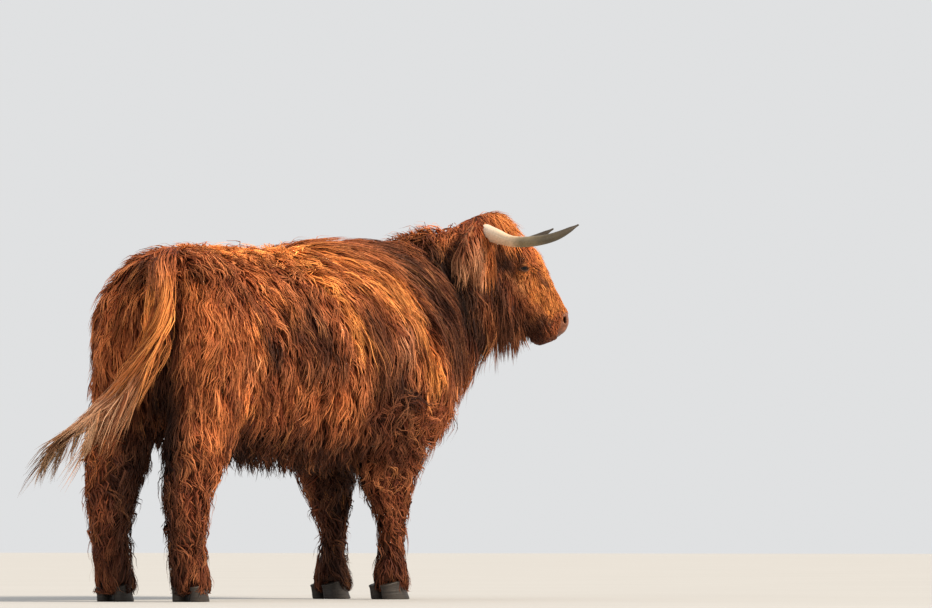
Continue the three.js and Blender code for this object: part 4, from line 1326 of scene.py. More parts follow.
def tail_locks(total, rng, marks=400):
    """Paths down the tail, in locks. A lock's guide keeps its own turn round the tail's curve and
    swells out to the tail's outline. Some stay with the curve; the others leave it and fall
    towards their tips as the 1.6th power of the share of their length. Those near the tail's
    end part into a few wisps, each of which sags by its own depth. Gives the paths, the
    directions out of the tail, their places on an unwrap, where on the tail each starts, and
    the guide of each."""
    count = total // TAIL_KIDS
    line, length = curve_through(TAIL_PLACES, marks)
    ahead = unit(np.gradient(line, axis=0))
    side = unit(np.cross(UPWARD, ahead))
    up = np.cross(ahead, side)
    root = 0.9 * rng.uniform(0.0, 1.0, count) ** 1.6
    turn = rng.uniform(0, TURN, count)
    last = root > WISPS_FROM
    wisp = rng.integers(0, len(WISPS), count)
    start, run, sag = WISPS[wisp].T
    root = np.where(last, start + 0.012 * rng.normal(size=count), root)
    turn = np.where(last, 1.7 * wisp + 0.5 * rng.normal(size=count), turn)
    falls = rng.uniform(0, 1, count) < 0.3 + 0.4 * smooth(0.25, 0.5, root)
    span = rng.uniform(0.18, 0.38, count) * np.where(falls, 0.6, 1.0)
    span = np.where(last, run * rng.uniform(0.85, 1.05, count), span)
    span = np.clip(span, 0, 1.03 - root)
    step = np.linspace(0, 1, TAIL_RINGS)
    share = np.clip(root[:, None] + span[:, None] * step, 0, 1)
    place = (share * (marks - 1)).astype(int)
    half, top, bottom = run_through(TAIL_COAT, share)
    core, = run_through(TAIL_CORE, share)
    swirl = turn[:, None] + 0.4 * step * rng.normal(size=(count, 1))
    reach = np.where(np.sin(swirl) > 0, top, bottom)
    out = smooth(0.0, 0.35, step) * rng.uniform(0.3, 1.0, (count, 1))
    gather = (1.0 - 0.5 * smooth(0.3, 1.0, step)) * (1.0 - 0.72 * smooth(0.5, 0.8, share))
    aside = np.cos(swirl) * (core + np.maximum(half - core, 0) * out) * gather
    rise = np.sin(swirl) * (core + np.maximum(reach - core, 0) * out) * gather
    drop = np.where(falls, rng.uniform(0.04, 0.17, count), rng.uniform(0, 0.014, count))
    drop = drop * (0.55 + 0.6 * smooth(0.1, 0.5, root))
    drop = np.where(last, sag * rng.uniform(0.85, 1.15, count), drop)
    fan_up, fan_aside = 0.003 * (last * rng.normal(size=(2, count)))[..., None] * step**2
    wave = rng.uniform(0, TURN, count)[:, None] + step * rng.uniform(4, 9, (count, 1))
    aside = aside + fan_aside + 0.007 * np.sin(wave) * step
    rise = rise + fan_up + 0.006 * np.cos(wave * 0.9) * step
    path = line[place] + side[place] * aside[..., None] + up[place] * rise[..., None]
    path[..., 2] -= drop[:, None] * step**1.6
    outs = side[place] * np.cos(swirl)[..., None] + up[place] * np.sin(swirl)[..., None]
    thin = 1.0 - 0.6 * root
    make = {"stand": 0.015 * thin, "gather": np.full(count, 0.93), "jitter": 0.003 * thin,
            "length": span * length * 0.5}
    paths, who, _ = tufts(path, outs[:, 0], make, TAIL_KIDS, rng)
    return paths, outs[who], np.stack([turn / TURN, root], -1)[who], root[who], who


# ---------------- finishes


class Nodes:
    """A material and short ways to add and join its nodes."""

    def __init__(self, name):
        self.material = bpy.data.materials.new(name)
        self.material.use_nodes = True
        self.tree = self.material.node_tree
        self.shader = self.tree.nodes["Principled BSDF"]

    def feed(self, socket, value):
        """Gives a socket another node's output, a colour or a number."""
        if isinstance(value, bpy.types.NodeSocket):
            self.tree.links.new(value, socket)
        elif socket.type == "RGBA":
            socket.default_value = (*value, 1.0)
        else:
            socket.default_value = value

    def add(self, kind, *feeds, **settings):
        """A node with its settings, and with feeds into its first sockets."""
        node = self.tree.nodes.new(kind)
        for key, value in settings.items():
            if key in node.inputs:
                self.feed(node.inputs[key], value)
            else:
                setattr(node, key, value)
        for socket, value in zip(node.inputs, feeds):
            self.feed(socket, value)
        return node

    def maths(self, operation, *values, clamp=False):
        node = self.add("ShaderNodeMath", *values, operation=operation, use_clamp=clamp)
        return node.outputs[0]

    def centred(self, value, times):
        """A value less a half, times a number."""
        return self.maths("MULTIPLY", self.maths("SUBTRACT", value, 0.5), times)

    def length(self, x, y):
        """The square root of the sum of both squares."""
        squares = [self.maths("MULTIPLY", value, value) for value in (x, y)]
        return self.maths("SQRT", self.maths("ADD", *squares))

    def mixed(self, share, a, b, blend_type="MIX"):
        """From colour a towards colour b by a share."""
        node = self.add("ShaderNodeMix", share, data_type="RGBA", blend_type=blend_type)
        self.feed(node.inputs[6], a)
        self.feed(node.inputs[7], b)
        return node.outputs[2]

    def tinted(self, colour, tint, share=1.0):
        """A colour times another, by a share."""
        return self.mixed(share, colour, tint, "MULTIPLY")

    def ramp(self, value, *stops):
        """Greys or colours run between stops, each a value and what it gives."""
        node = self.add("ShaderNodeValToRGB", value)
        band = node.color_ramp
        while len(band.elements) < len(stops):
            band.elements.new(0.5)
        for element, (place, colour) in zip(band.elements, stops):
            element.position = place
            element.color = (*(colour if isinstance(colour, tuple) else (colour,) * 3), 1.0)
        return node.outputs[0]

    def noise(self, where, scale, detail=4.0):
        node = self.add("ShaderNodeTexNoise", where, Scale=scale, Detail=detail, Roughness=0.55)
        return node.outputs[0]

    def stretched(self, where, scale):
        return self.add("ShaderNodeMapping", where, Scale=scale).outputs[0]

    def number(self, name):
        return self.add("ShaderNodeAttribute", attribute_name=name).outputs["Fac"]

    def colour(self, name):
        return self.add("ShaderNodeAttribute", attribute_name=name).outputs["Color"]

    def place(self):
        return self.add("ShaderNodeTexCoord").outputs["Object"]

    def uv_map(self, name):
        return self.add("ShaderNodeUVMap", uv_map=name).outputs[0]

    def split(self, vector):
        return self.add("ShaderNodeSeparateXYZ", vector).outputs

    def bump(self, height, strength, distance):
        node = self.add("ShaderNodeBump", Strength=strength, Distance=distance, Height=height)
        self.feed(self.shader.inputs["Normal"], node.outputs[0])

    def finish(self, **values):
        """The material, with these values in the shader's own sockets."""
        for key, value in values.items():
            self.feed(self.shader.inputs[key.replace("_", " ")], value)
        return self.material


def coat_material():
    """Hair: the coat's colours with their painted light and shade, darker at the root as painted
    shade and lighter at the tip as painted highlight, each tuft a little lighter or darker than the
    next and streaked along its length, and bleached where both are light."""
    if "long_hair" in bpy.data.materials:
        return bpy.data.materials["long_hair"]
    n = Nodes("long_hair")
    bleached = tuple(bpy.context.scene.cow_coat.bleached)
    tone = n.number("Tone")
    across, down, _ = n.split(n.uv_map("Strand"))
    own = n.maths("ADD", down, n.maths("MULTIPLY", tone, 97.0))
    strand = n.add("ShaderNodeCombineXYZ", n.maths("MULTIPLY", across, 8.0), own).outputs[0]
    fibre = n.noise(strand, 1.0, 3.0)
    along = n.maths("ADD", down, n.centred(fibre, 0.4))
    # Painted shade and highlight: each tuft darkens towards its root, where shade falls among the
    # hair, and lightens at its tip.
    shade = n.ramp(along, (0.0, (0.36, 0.22, 0.19)), (0.25, (0.7, 0.55, 0.5)), (0.6, 0.98),
                   (1.0, (1.2, 1.24, 1.28)))
    lit = n.ramp(tone, (0.0, (0.36, 0.24, 0.22)), (0.35, (0.76, 0.65, 0.62)), (0.65, 1.2),
                 (1.0, (2.0, 2.15, 2.3)))
    colour = n.tinted(n.tinted(n.colour("MarkingsAndPaintedLight"), shade), lit)
    pale = n.maths("MULTIPLY", n.maths("SUBTRACT", tone, 0.68, clamp=True), along)
    colour = n.mixed(pale, colour, bleached)
    colour = n.tinted(colour, n.ramp(fibre, (0.36, 0.42), (0.5, 0.98), (0.64, 1.6)))
    n.bump(fibre, 0.3, 0.0015)
    return n.finish(Base_Color=colour, Roughness=0.58, Specular_IOR_Level=0.16)


def skin_material():
    """Skin: the coat's colours darkened as painted shade in the gaps between the tufts over most of
    it, and on the nose, lips and lids a moist brown-pink hide, pebbled on the nose, with painted
    shade in the nostrils and the mouth's groove."""
    n = Nodes("bare_hide")
    settings = bpy.context.scene.cow_head
    where = n.place()
    bare = n.number("Bare")
    fuzz = n.noise(where, 420.0, 5.0)
    # Painted shade: under the coat the skin takes the coat's colours at about a third, dark as the
    # shaded gaps between the tufts.
    roots = n.tinted(n.colour("MarkingsAndPaintedLight"), (0.34, 0.32, 0.3))
    roots = n.tinted(roots, n.ramp(fuzz, (0.3, 0.55), (0.7, 1.4)))
    patch = n.ramp(n.noise(where, 38.0), (0.35, 0.0), (0.7, 1.0))
    hide = n.mixed(patch, tuple(settings.nose), tuple(settings.nose_dark))
    # The number Shade darkens the hide: painted shade in the nostrils and the mouth's groove, and
    # the lids' dark rims.
    hide = n.mixed(n.number("Shade"), hide, (0.022, 0.011, 0.008))
    cells = n.add("ShaderNodeTexVoronoi", where, feature="DISTANCE_TO_EDGE", Scale=270.0)
    pebbles = n.ramp(cells.outputs["Distance"], (0.0, 0.0), (0.16, 1.0))
    n.bump(n.mixed(bare, fuzz, pebbles), 0.35, 0.0012)
    dull = n.maths("SUBTRACT", 0.78, n.maths("MULTIPLY", bare, 0.44))
    return n.finish(Base_Color=n.mixed(bare, roots, hide), Specular_IOR_Level=0.2,
                    Roughness=n.maths("ADD", dull, n.centred(fuzz, 0.3)))


def horn_material():
    """Horn: cream at the root, olive grey past the middle and nearly black at the tip, clouded,
    specked and streaked along its fibres, which also give its gloss."""
    n = Nodes("ringed_horn")
    settings = bpy.context.scene.cow_head
    grain = n.uv_map("Grain")
    fibre = n.noise(n.stretched(grain, (26.0, 3.0, 1.0)), 1.0, 5.0)
    cloud = n.noise(n.place(), 22.0)
    colour = n.ramp(
        n.maths("ADD", n.split(grain)[1], n.centred(cloud, 0.22)),
        (0.0, (0.7, 0.5, 0.34)), (0.06, tuple(settings.horn_root)),
        (0.46, (0.82, 0.58, 0.36)), (0.62, tuple(settings.horn_middle)),
        (0.8, (0.088, 0.065, 0.033)), (0.94, tuple(settings.horn_tip)),
    )
    speck = n.ramp(n.noise(n.place(), 160.0, 3.0), (0.52, 1.0), (0.68, 0.72))
    colour = n.tinted(colour, speck, 0.8)
    colour = n.tinted(colour, n.ramp(fibre, (0.3, 0.78), (0.7, 1.15)))
    n.bump(fibre, 0.25, 0.0012)
    gloss = n.ramp(fibre, (0.3, 0.5), (0.7, 0.34))
    return n.finish(Base_Color=colour, Roughness=gloss, Specular_IOR_Level=0.5)


def hoof_material():
    """Hoof: dark grey-brown horn with growth rings that run level round it, dusty in patches,
    which are also duller."""
    n = Nodes("hoof_horn")
    where = n.place()
    rings = n.noise(n.stretched(where, (6.0, 6.0, 190.0)), 1.0)
    dust = n.noise(where, 45.0, 5.0)
    colour = n.ramp(rings, (0.3, (0.012, 0.009, 0.007)), (0.7, (0.034, 0.025, 0.019)))
    colour = n.mixed(n.ramp(dust, (0.5, 0.0), (0.75, 0.3)), colour, (0.085, 0.065, 0.048))
    n.bump(rings, 0.4, 0.002)
    gloss = n.ramp(dust, (0.3, 0.42), (0.7, 0.7))
    return n.finish(Base_Color=colour, Roughness=gloss, Specular_IOR_Level=0.4)


def eye_material():
    """Eye: a brown iris with a dark rim and a level oval pupil, dark white showing at the
    corners, all under a wet cornea."""
    n = Nodes("wet_eye")
    disc = n.uv_map("Iris")
    x, y = (n.centred(value, 2.0) for value in n.split(disc)[:2])
    radius = n.length(x, y)
    pupil = n.length(n.maths("DIVIDE", x, 0.44), n.maths("DIVIDE", y, 0.25))
    spokes = n.ramp(n.noise(disc, 30.0), (0.35, 0.0), (0.65, 1.0))
    colour = n.mixed(spokes, (0.018, 0.008, 0.004), (0.07, 0.028, 0.011))
    colour = n.mixed(n.ramp(radius, (0.66, 0.0), (0.72, 1.0)), colour, (0.07, 0.04, 0.028))
    rim = n.ramp(radius, (0.6, 0.0), (0.66, 0.8), (0.7, 0.0))
    colour = n.mixed(rim, colour, (0.006, 0.004, 0.003))
    colour = n.mixed(n.ramp(pupil, (0.92, 1.0), (1.0, 0.0)), colour, (0.002, 0.002, 0.003))
    return n.finish(Base_Color=colour, Roughness=0.22, Specular_IOR_Level=0.12,
                    Coat_Weight=0.08, Coat_Roughness=0.05)


def floor_material():
    """Floor: a plain pale studio floor with faint clouds in its colour."""
    n = Nodes("studio_floor")
    pale = tuple(bpy.context.scene.cow_stage.floor_colour)
    cloud = n.ramp(n.noise(n.place(), 0.8, 3.0), (0.3, 0.0), (0.7, 1.0))
    colour = n.mixed(cloud, pale, tuple(value * 0.96 for value in pale))
    return n.finish(Base_Color=colour, Roughness=0.85, Specular_IOR_Level=0.15)


# ---------------- eyes, lids, horns, hooves


def tube_faces(rings, sides):
    """Faces of a tube of rings with a fan over each end: its quads and its triangles. The two
    corners that the fans meet in follow those of the rings."""
    side = np.arange(sides)
    after = (side + 1) % sides
    start = np.arange(rings - 1)[:, None] * sides
    quads = [start + side, start + after, start + sides + after, start + sides + side]
    last = (rings - 1) * sides
    first_fan = np.stack([np.full(sides, rings * sides), after, side], -1)
    last_fan = np.stack([np.full(sides, rings * sides + 1), last + side, last + after], -1)
    return np.stack(quads, -1).reshape(-1, 4), np.vstack([first_fan, last_fan])


def closed_mesh(name, shapes, quads, triangles):
    """A mesh of like closed shapes, each of the same faces, turned outwards."""
    starts = [k * len(shapes[0]) for k in range(len(shapes))]
    quads = np.vstack([quads + start for start in starts])
    triangles = np.vstack([triangles + start for start in starts])
    mesh = new_mesh(name, np.vstack(shapes), quads, triangles)
    outward(mesh)
    return mesh


def eye_axes(sign):
    """An eye's middle and the directions out of it, level across it and up it."""
    mirror = np.array([1.0, sign, 1.0])
    out, up = unit(EYE_AHEAD * mirror @ FACE), unit(EYE_UP * mirror @ FACE)
    return on_head(*(EYE_PLACE * mirror)), out, np.cross(up, out), up


def eye_mesh(rings=30, sides=40):
    """Both eyeballs. Each is a ball of the eye's radius, turned by two angles about the way it
    looks, raised over the cornea by a bump that falls off as the fourth power of the angle. Its
    map called Iris is the eye seen from in front, with the back of the ball spread round it."""
    polar = np.linspace(0, np.pi, rings + 2)[1:-1]
    turn = np.arange(sides) * TURN / sides
    p, t = (values.ravel() for values in np.meshgrid(polar, turn, indexing="ij"))
    p, t = np.append(p, [0.0, np.pi]), np.append(t, [0.0, 0.0])
    reach = EYE_RADIUS + 0.0014 * np.maximum(1 - (p / 0.62) ** 4, 0)
    far = np.where(np.cos(p) > 0, np.sin(p), 2 - np.sin(p))
    far[-1] = 0.0
    disc = 0.5 + 0.5 * far[:, None] * np.stack([np.cos(t), np.sin(t)], -1)
    p, t = p[:, None], t[:, None]
    balls = []
    for sign in SIDES.values():
        centre, out, level, up = eye_axes(sign)
        way = np.cos(p) * out + np.sin(p) * (np.cos(t) * level + np.sin(t) * up)
        balls.append(centre + way * reach[:, None])
    mesh = closed_mesh("eyes", balls, *tube_faces(rings, sides))
    put_map(mesh, "Iris", np.tile(disc, (2, 1)))
    return mesh


def lid_mesh(around=72, across=22):
    """Both pairs of lids. A rounded band runs round an almond opening on a ball a little larger
    than the eye: the opening is 1 and the band reaches to 1.6 times it, thick at its inner edge
    and sinking into the skin at its outer one, with two folds that follow the opening."""
    turn = np.arange(around) * TURN / around
    section = np.arange(across) * TURN / across
    t, c = np.meshgrid(turn, section, indexing="ij")
    half = 0.5 - 0.5 * np.cos(c)
    wide = 0.84 * np.sign(np.cos(t)) * np.abs(np.cos(t)) ** 0.9
    tall = np.where(np.sin(t) > 0, 0.27, 0.4) * np.sin(t) * (1 - 0.25 * np.cos(t) ** 2)
    far = 1.0 + 0.6 * half
    top = np.sin(c) > 0
    fold = 0.0007 * np.cos(half * 17.0) * smooth(0.15, 0.4, half) * top
    rise = 0.0034 * np.sqrt(np.clip(1 - (1 - np.minimum(half / 0.16, 1)) ** 2, 0, 1))
    rise = rise + 0.0008 * (half - 0.16)
    over = np.where(top, 0.0208 + rise + fold, 0.0203 - 0.002 * half)
    over = over - 0.003 * smooth(0.75, 1.0, half)
    bands = []
    for sign in SIDES.values():
        centre, out, level, up = eye_axes(sign)
        way = out + (far * wide)[..., None] * level * 0.95 + (far * tall)[..., None] * up
        bands.append((centre + unit(way) * over[..., None]).reshape(-1, 3))
    i, j = np.arange(around)[:, None], np.arange(across)[None]
    here, there = i * across, (i + 1) % around * across
    after = (j + 1) % across
    quads = np.stack([here + j, there + j, there + after, here + after], -1).reshape(-1, 4)
    mesh = closed_mesh("eyelids", bands, quads, np.empty((0, 3), int))
    edge = np.tile(smooth(0.34, 0.14, half).ravel(), 2)
    put_numbers(mesh, "Bare", edge)
    put_numbers(mesh, "Shade", 0.9 * edge)
    put_colours(mesh, "MarkingsAndPaintedLight", np.tile(np.array(RUST), (len(edge), 1)))
    return mesh


def horn_mesh(name, sign, rings=150, sides=36):
    """A horn. A round profile is carried along its smoothed curve with the radius of each share.
    Rings stand out near the root: a wavering sine wave of 34 turns, times the cube of the share
    that is left. Shallow flutes run along it. Its map called Grain runs round it and along it."""
    places = POLL + HORN_PLACES[:, :1] * FLAT_AHEAD + sign * HORN_PLACES[:, 1:2] * FLAT_LEFT
    places[:, 2] = HORN_PLACES[:, 2] + sign * HORN_PLACES[:, 1] * HEAD_ROLL
    line, _ = curve_through(places, rings)
    for _ in range(120):
        line[1:-1] = 0.5 * line[1:-1] + 0.25 * (line[:-2] + line[2:])
    run = unit(np.gradient(line, axis=0))
    side = unit(np.cross(UPWARD, run))
    up = np.cross(run, side)
    share = np.linspace(0, 1, rings)[:, None]
    turn = np.arange(sides) * TURN / sides
    ring = 0.001 * (1 - share) ** 3 * np.sin(share * TURN * 34 + np.sin(share * 60))
    flute = 0.00035 * np.sin(turn * 9) * (1 - share)
    radius, = run_through(HORN_RADIUS, share)
    reach = radius + ring + flute
    reach = reach * (1 + 0.04 * np.cos(2 * turn + share * 4))
    spoke = np.cos(turn)[:, None] * side[:, None] + np.sin(turn)[:, None] * up[:, None]
    points = (line[:, None] + reach[..., None] * spoke).reshape(-1, 3)
    points = np.vstack([points, line[:1] - run[:1] * 0.003, line[-1:] + run[-1:] * 0.002])
    mesh = closed_mesh(name, [points], *tube_faces(rings, sides))
    grain = np.stack(np.broadcast_arrays(np.abs(turn / np.pi - 1), share), -1)
    put_map(mesh, "Grain", np.vstack([grain.reshape(-1, 2), [[0.5, 0.0], [0.5, 1.0]]]))
    return mesh


HOOF = {"length": 0.116, "width": 0.053, "height": 0.07, "toe": 0.022, "parting": 0.006}
# height up a claw, how far its outline is drawn in, both as shares
CLAW_RINGS = [
    [0, 0.1], [0.02, 0.03], [0.05, 0], [0.2, 0], [0.4, 0.01], [0.6, 0.02], [0.75, 0.02], [0.86, 0],
    [0.93, -0.03], [0.98, 0.02], [1.0, 0.14],
]


def hoof_mesh(sides=36):
    """The eight claws. Each is an oval that is drawn to a toe which turns in, flatter towards its
    pair, carried up a wall that slopes back and is lower at the heel, with seven uneven rings."""
    turn = np.arange(sides) * TURN / sides
    share = np.sort(np.concatenate([np.linspace(0, 1, 40), [0.01, 0.03, 0.97, 0.99]]))
    drawn, = run_through(CLAW_RINGS, share)
    walls = smooth(0.05, 0.2, share) * smooth(0.95, 0.8, share)
    drawn = drawn - 0.005 * np.sin(TURN * 7 * share + 2 * np.sin(9 * share)) * walls
    share, drawn = share[:, None], drawn[:, None]
    along = np.sign(np.cos(turn)) * np.abs(np.cos(turn)) ** 0.86
    toe = np.maximum(along, 0) ** 2
    across = np.sign(np.sin(turn)) * np.abs(np.sin(turn)) ** 0.92 * (1 - 0.34 * toe)
    across = np.where(across < 0, 0.8 * across, across) - 0.16 * toe
    slope = HOOF["toe"] * share
    reach = along * ((HOOF["length"] / 2 - slope / 2) * (1 - drawn)) - slope
    wide = HOOF["width"] / 2 * (1 - 0.18 * share) * (1 - drawn)
    claws = []
    for forward, lateral in FEET.values():
        ahead, left = (axis[0] for axis in body_axes(np.array([forward])))
        for half in (-1, 1):
            middle = on_body(forward, lateral + half * (HOOF["width"] + HOOF["parting"]) / 2)
            place = middle + reach[..., None] * ahead + (half * across * wide)[..., None] * left
            place[..., 2] = HOOF["height"] * share * (0.84 + 0.16 * along)
            caps = np.stack([place[0].mean(0), place[-1].mean(0)])
            claws.append(np.vstack([place.reshape(-1, 3), caps]))
    return closed_mesh("hooves", claws, *tube_faces(len(share), sides))


# ---------------- settings


class CoatSettings(bpy.types.PropertyGroup):
    """Sizes and colours of the coat."""

    fullness: FloatProperty(
        name="Fullness", description="Number of tufts against the usual",
        default=1.0, min=0.05, max=1.3, subtype="FACTOR")
    length: FloatProperty(
        name="Length", description="Length of the tufts against the usual", default=1.0,
        min=0.3, max=1.5, subtype="FACTOR")
    wave: FloatProperty(
        name="Wave", description="How far the tufts swing from side to side", default=1.0,
        min=0.0, max=3.0, subtype="FACTOR")
    seed: IntProperty(
        name="Seed", description="Which of many arrangements of tufts", default=7)
    bleached: FloatVectorProperty(
        name="Bleached", description="Colour of sun-bleached tips", subtype="COLOR",
        default=(0.74, 0.3, 0.075), size=3)


class HeadSettings(bpy.types.PropertyGroup):
    """Colours of the nose and horns."""

    nose: FloatVectorProperty(
        name="Nose", description="Colour of the bare nose", subtype="COLOR",
        default=(0.3, 0.112, 0.058), size=3)
    nose_dark: FloatVectorProperty(
        name="Nose Patches", description="Colour of its dark patches", subtype="COLOR",
        default=(0.105, 0.04, 0.024), size=3)
    horn_root: FloatVectorProperty(
        name="Horn Root", description="Colour near a horn's root", subtype="COLOR",
        default=(0.95, 0.8, 0.62), size=3)
    horn_middle: FloatVectorProperty(
        name="Horn Middle", description="Colour past its middle", subtype="COLOR",
        default=(0.26, 0.195, 0.105), size=3)
    horn_tip: FloatVectorProperty(
        name="Horn Tip", description="Colour at its tip", subtype="COLOR",
        default=(0.05, 0.036, 0.022), size=3)


class StageSettings(bpy.types.PropertyGroup):
    """The floor, the lights and the camera."""

    floor_size: FloatProperty(
        name="Floor Size", description="Length of the floor's sides", default=160.0, min=10.0,
        unit="LENGTH")
    floor_colour: FloatVectorProperty(
        name="Floor", description="Colour of the floor", subtype="COLOR",
        default=(0.52, 0.515, 0.5), size=3)
    key_strength: FloatProperty(
        name="Key Light", description="Strength of the broad warm light", default=4.6, min=0.0)
    fill_power: FloatProperty(
        name="Fill Light", description="Power of the soft light in front", default=60.0,
        min=0.0, unit="POWER")
    world_strength: FloatProperty(
        name="Surroundings", description="Light from all round", default=0.8, min=0.0)
    camera_place: FloatVectorProperty(
        name="Camera", description="Where the camera stands", subtype="TRANSLATION",
        unit="LENGTH", size=3, default=(-14.046, -11.478, 0.183))
    camera_tilt: FloatProperty(
        name="Tilt", description="How far the camera looks up", default=math.radians(2.555),
        subtype="ANGLE")
    camera_heading: FloatProperty(
        name="Heading", description="Turn of the camera from north",
        default=math.radians(-52.0), subtype="ANGLE")
    focal_length: FloatProperty(
        name="Focal Length", description="Of the lens, in millimetres", default=208.6, min=10.0)


# ---------------- operators


class COW_OT_skin(bpy.types.Operator):
    """One skin over the whole body, with the bare nose, lips and nostrils"""

    bl_idname = "cow.skin"
    bl_label = "Skin"

    def execute(self, context):
        work = skin_surface()
        mesh = bpy.data.meshes.new("skin")
        work.to_mesh(mesh)
        work.free()
        mesh.polygons.foreach_set("use_smooth", np.ones(len(mesh.polygons), bool))
        points = corners_of(mesh).astype(float)
        along, lateral, above = in_head(points)
        head = smooth(0.16, 0.13, np.abs(lateral))
        off = above_mouth(along, above)
        lips = smooth(0.37, 0.4, along) * hump(off, 0.006)
        put_numbers(mesh, "Bare", head * np.maximum(nose_pad(along, above), lips))
        # Shade holds painted shade in the nostrils and along the mouth's groove.
        hole = smooth(0.016, 0.009, from_nostril(along, np.abs(lateral), above))
        groove = hump(off, 0.0045) * smooth(0.34, 0.38, along)
        put_numbers(mesh, "Shade", head * np.maximum(0.9 * hole, 0.85 * groove))
        put_colours(mesh, "MarkingsAndPaintedLight", markings_and_painted_light(points, part_at(points) == EAR_PART))
        skin = add_piece("skin", mesh, skin_material())
        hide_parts(*BODY_NODES, *EAR_NODES, *TAIL_NODES)
        add_piece("eyelids", lid_mesh(), bpy.data.materials["bare_hide"])
        return {"FINISHED"}


class COW_OT_coat(bpy.types.Operator):
    """The coat over the trunk, neck, head, ears and legs, in thirteen pieces"""

    bl_idname = "cow.coat"
    bl_label = "Coat"

    def execute(self, context):
        mesh = bpy.data.meshes["skin"]
        points, triangles = corners_of(mesh).astype(float), triangles_of(mesh)
        corner = points[triangles]
        facings = unit(np.cross(corner[:, 1] - corner[:, 0], corner[:, 2] - corner[:, 0]))
        middles = corner.mean(1)
        skin = (points, triangles, middles, facings, part_at(middles))
        for name in COAT_PIECES:
            grow_coat(name, skin)
        return {"FINISHED"}


class COW_OT_tail(bpy.types.Operator):
    """The tail's hair, from its root to the end of the switch"""

    bl_idname = "cow.tail"
    bl_label = "Tail"

    def execute(self, context):
        settings = context.scene.cow_coat
        rng = np.random.default_rng(settings.seed + TAIL_SEED)
        paths, outs, spots, root, who = tail_locks(int(TAIL_TUFTS * settings.fullness), rng)
        widths = rng.uniform(*TAIL_WIDTHS, len(who)) * (1.0 - 0.35 * root)
        tones = 0.54 + 0.17 * rng.normal(size=who.max() + 1)[who]
        tones = tones + 0.07 * rng.normal(size=len(who))
        tones = tones + 0.2 * smooth(0.36, 0.5, root) - 0.2 * smooth(0.66, 0.8, root)
        tones = np.clip(tones, 0, 1)
        mesh = tuft_mesh("coat_tail", [[paths, outs, widths, tones, spots]])
        add_piece("coat_tail", mesh, coat_material())
        return {"FINISHED"}


class COW_OT_eyes(bpy.types.Operator):
    """The eyes, each with an iris, a level pupil and a wet cornea"""

    bl_idname = "cow.eyes"
    bl_label = "Eyes"

    def execute(self, context):
        eyes = add_piece("eyes", eye_mesh(), eye_material())
        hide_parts("eye_left", "eye_right")
        return {"FINISHED"}


class COW_OT_horns(bpy.types.Operator):
    """The horns, ringed at the root and smooth towards the tip"""

    bl_idname = "cow.horns"
    bl_label = "Horns"

    def execute(self, context):
        material = horn_material()
        for side, sign in SIDES.items():
            name = f"horn_{side}_ringed"
            horn = add_piece(name, horn_mesh(name, sign), material)
            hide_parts(f"horn_{side}")
        return {"FINISHED"}


class COW_OT_hooves(bpy.types.Operator):
    """The hooves: eight claws with worn, ringed walls"""

    bl_idname = "cow.hooves"
    bl_label = "Hooves"

    def execute(self, context):
        hooves = add_piece("hooves", hoof_mesh(), hoof_material())
        claws = [f"claw_{leg}_{side}" for leg in LEG_NAMES for side in SIDES]
        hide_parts(*claws)
        return {"FINISHED"}


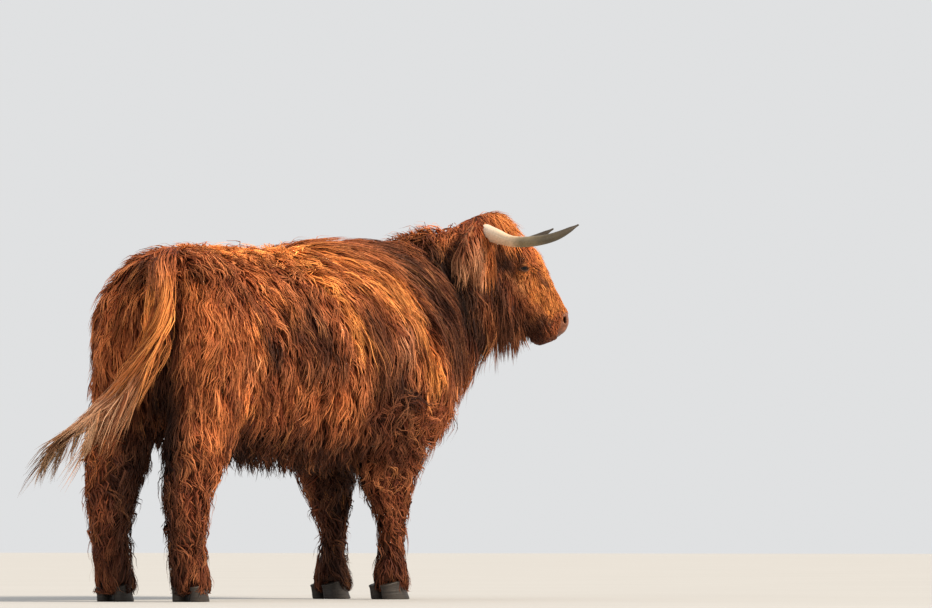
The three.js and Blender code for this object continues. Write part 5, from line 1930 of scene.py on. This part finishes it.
class COW_OT_stage(bpy.types.Operator):
    """The floor, the soft lights, the surroundings and the camera"""

    bl_idname = "cow.stage"
    bl_label = "Stage"

    def execute(self, context):
        settings = context.scene.cow_stage
        half = settings.floor_size / 2
        corners = [(-half, -half, 0), (half, -half, 0), (half, half, 0), (-half, half, 0)]
        mesh = new_mesh("studio_floor", corners, [[0, 1, 2, 3]], [])
        mesh.materials.append(floor_material())
        floor = bpy.data.objects.new("studio_floor", mesh)
        context.scene.collection.objects.link(floor)
        world = bpy.data.worlds.new("studio")
        world.use_nodes = True
        background = world.node_tree.nodes["Background"]
        background.inputs["Color"].default_value = (0.93, 0.94, 0.95, 1.0)
        background.inputs["Strength"].default_value = settings.world_strength
        context.scene.world = world
        add_light("key", "SUN", settings.key_strength, (1.0, 0.86, 0.69), 14.0, (2.0, -6.0, 5.6))
        add_light("fill", "AREA", settings.fill_power, (0.92, 0.96, 1.0), 5.0, (-6.5, -3.0, 2.2))
        data = bpy.data.cameras.new("camera")
        data.sensor_width = 36.0
        data.lens = settings.focal_length
        data.clip_end = 500.0
        camera = bpy.data.objects.new("camera", data)
        camera.location = settings.camera_place
        tilt = math.radians(90) + settings.camera_tilt
        camera.rotation_euler = (tilt, 0.0, settings.camera_heading)
        context.scene.collection.objects.link(camera)
        context.scene.camera = camera
        context.scene.view_settings.view_transform = "Standard"
        return {"FINISHED"}


def add_light(name, kind, power, colour, size, place):
    """A soft light at a place, turned to the middle of the body: a square one of a size in
    metres, or an even one from far off that is a size in degrees across."""
    data = bpy.data.lights.new(name, kind)
    data.energy, data.color = power, colour
    if kind == "SUN":
        data.angle = math.radians(size)
    else:
        data.size = size
    light = bpy.data.objects.new(name, data)
    light.location = place
    away = light.location - Vector((0.0, 0.0, 0.8))
    light.rotation_euler = away.to_track_quat("Z", "Y").to_euler()
    bpy.context.scene.collection.objects.link(light)


class COW_PT_panel(bpy.types.Panel):
    """The steps that build the cow, in order"""

    bl_idname = "COW_PT_panel"
    bl_label = "Highland Cow"
    bl_space_type = "VIEW_3D"
    bl_region_type = "UI"
    bl_category = "Highland Cow"

    def draw(self, context):
        layout = self.layout
        scene = context.scene
        for settings in (scene.cow_coat, scene.cow_head, scene.cow_stage):
            box = layout.box()
            for name in settings.__annotations__:
                box.prop(settings, name)
        for operator in OPERATORS:
            layout.operator(operator.bl_idname)


OPERATORS = (COW_OT_skin, COW_OT_coat, COW_OT_tail, COW_OT_eyes, COW_OT_horns, COW_OT_hooves,
             COW_OT_stage)
SETTINGS = {"cow_coat": CoatSettings, "cow_head": HeadSettings, "cow_stage": StageSettings}


def register():
    for kind in (*SETTINGS.values(), *OPERATORS, COW_PT_panel):
        bpy.utils.register_class(kind)
    for name, kind in SETTINGS.items():
        setattr(bpy.types.Scene, name, PointerProperty(type=kind))


def unregister():
    for name in SETTINGS:
        delattr(bpy.types.Scene, name)
    for kind in (COW_PT_panel, *reversed(OPERATORS), *SETTINGS.values()):
        bpy.utils.unregister_class(kind)


def main():
    """Builds the whole scene."""
    register()
    bpy.ops.cow.skin()
    bpy.ops.cow.coat()
    bpy.ops.cow.tail()
    bpy.ops.cow.eyes()
    bpy.ops.cow.horns()
    bpy.ops.cow.hooves()
    bpy.ops.cow.stage()


if __name__ == "__main__":
    main()
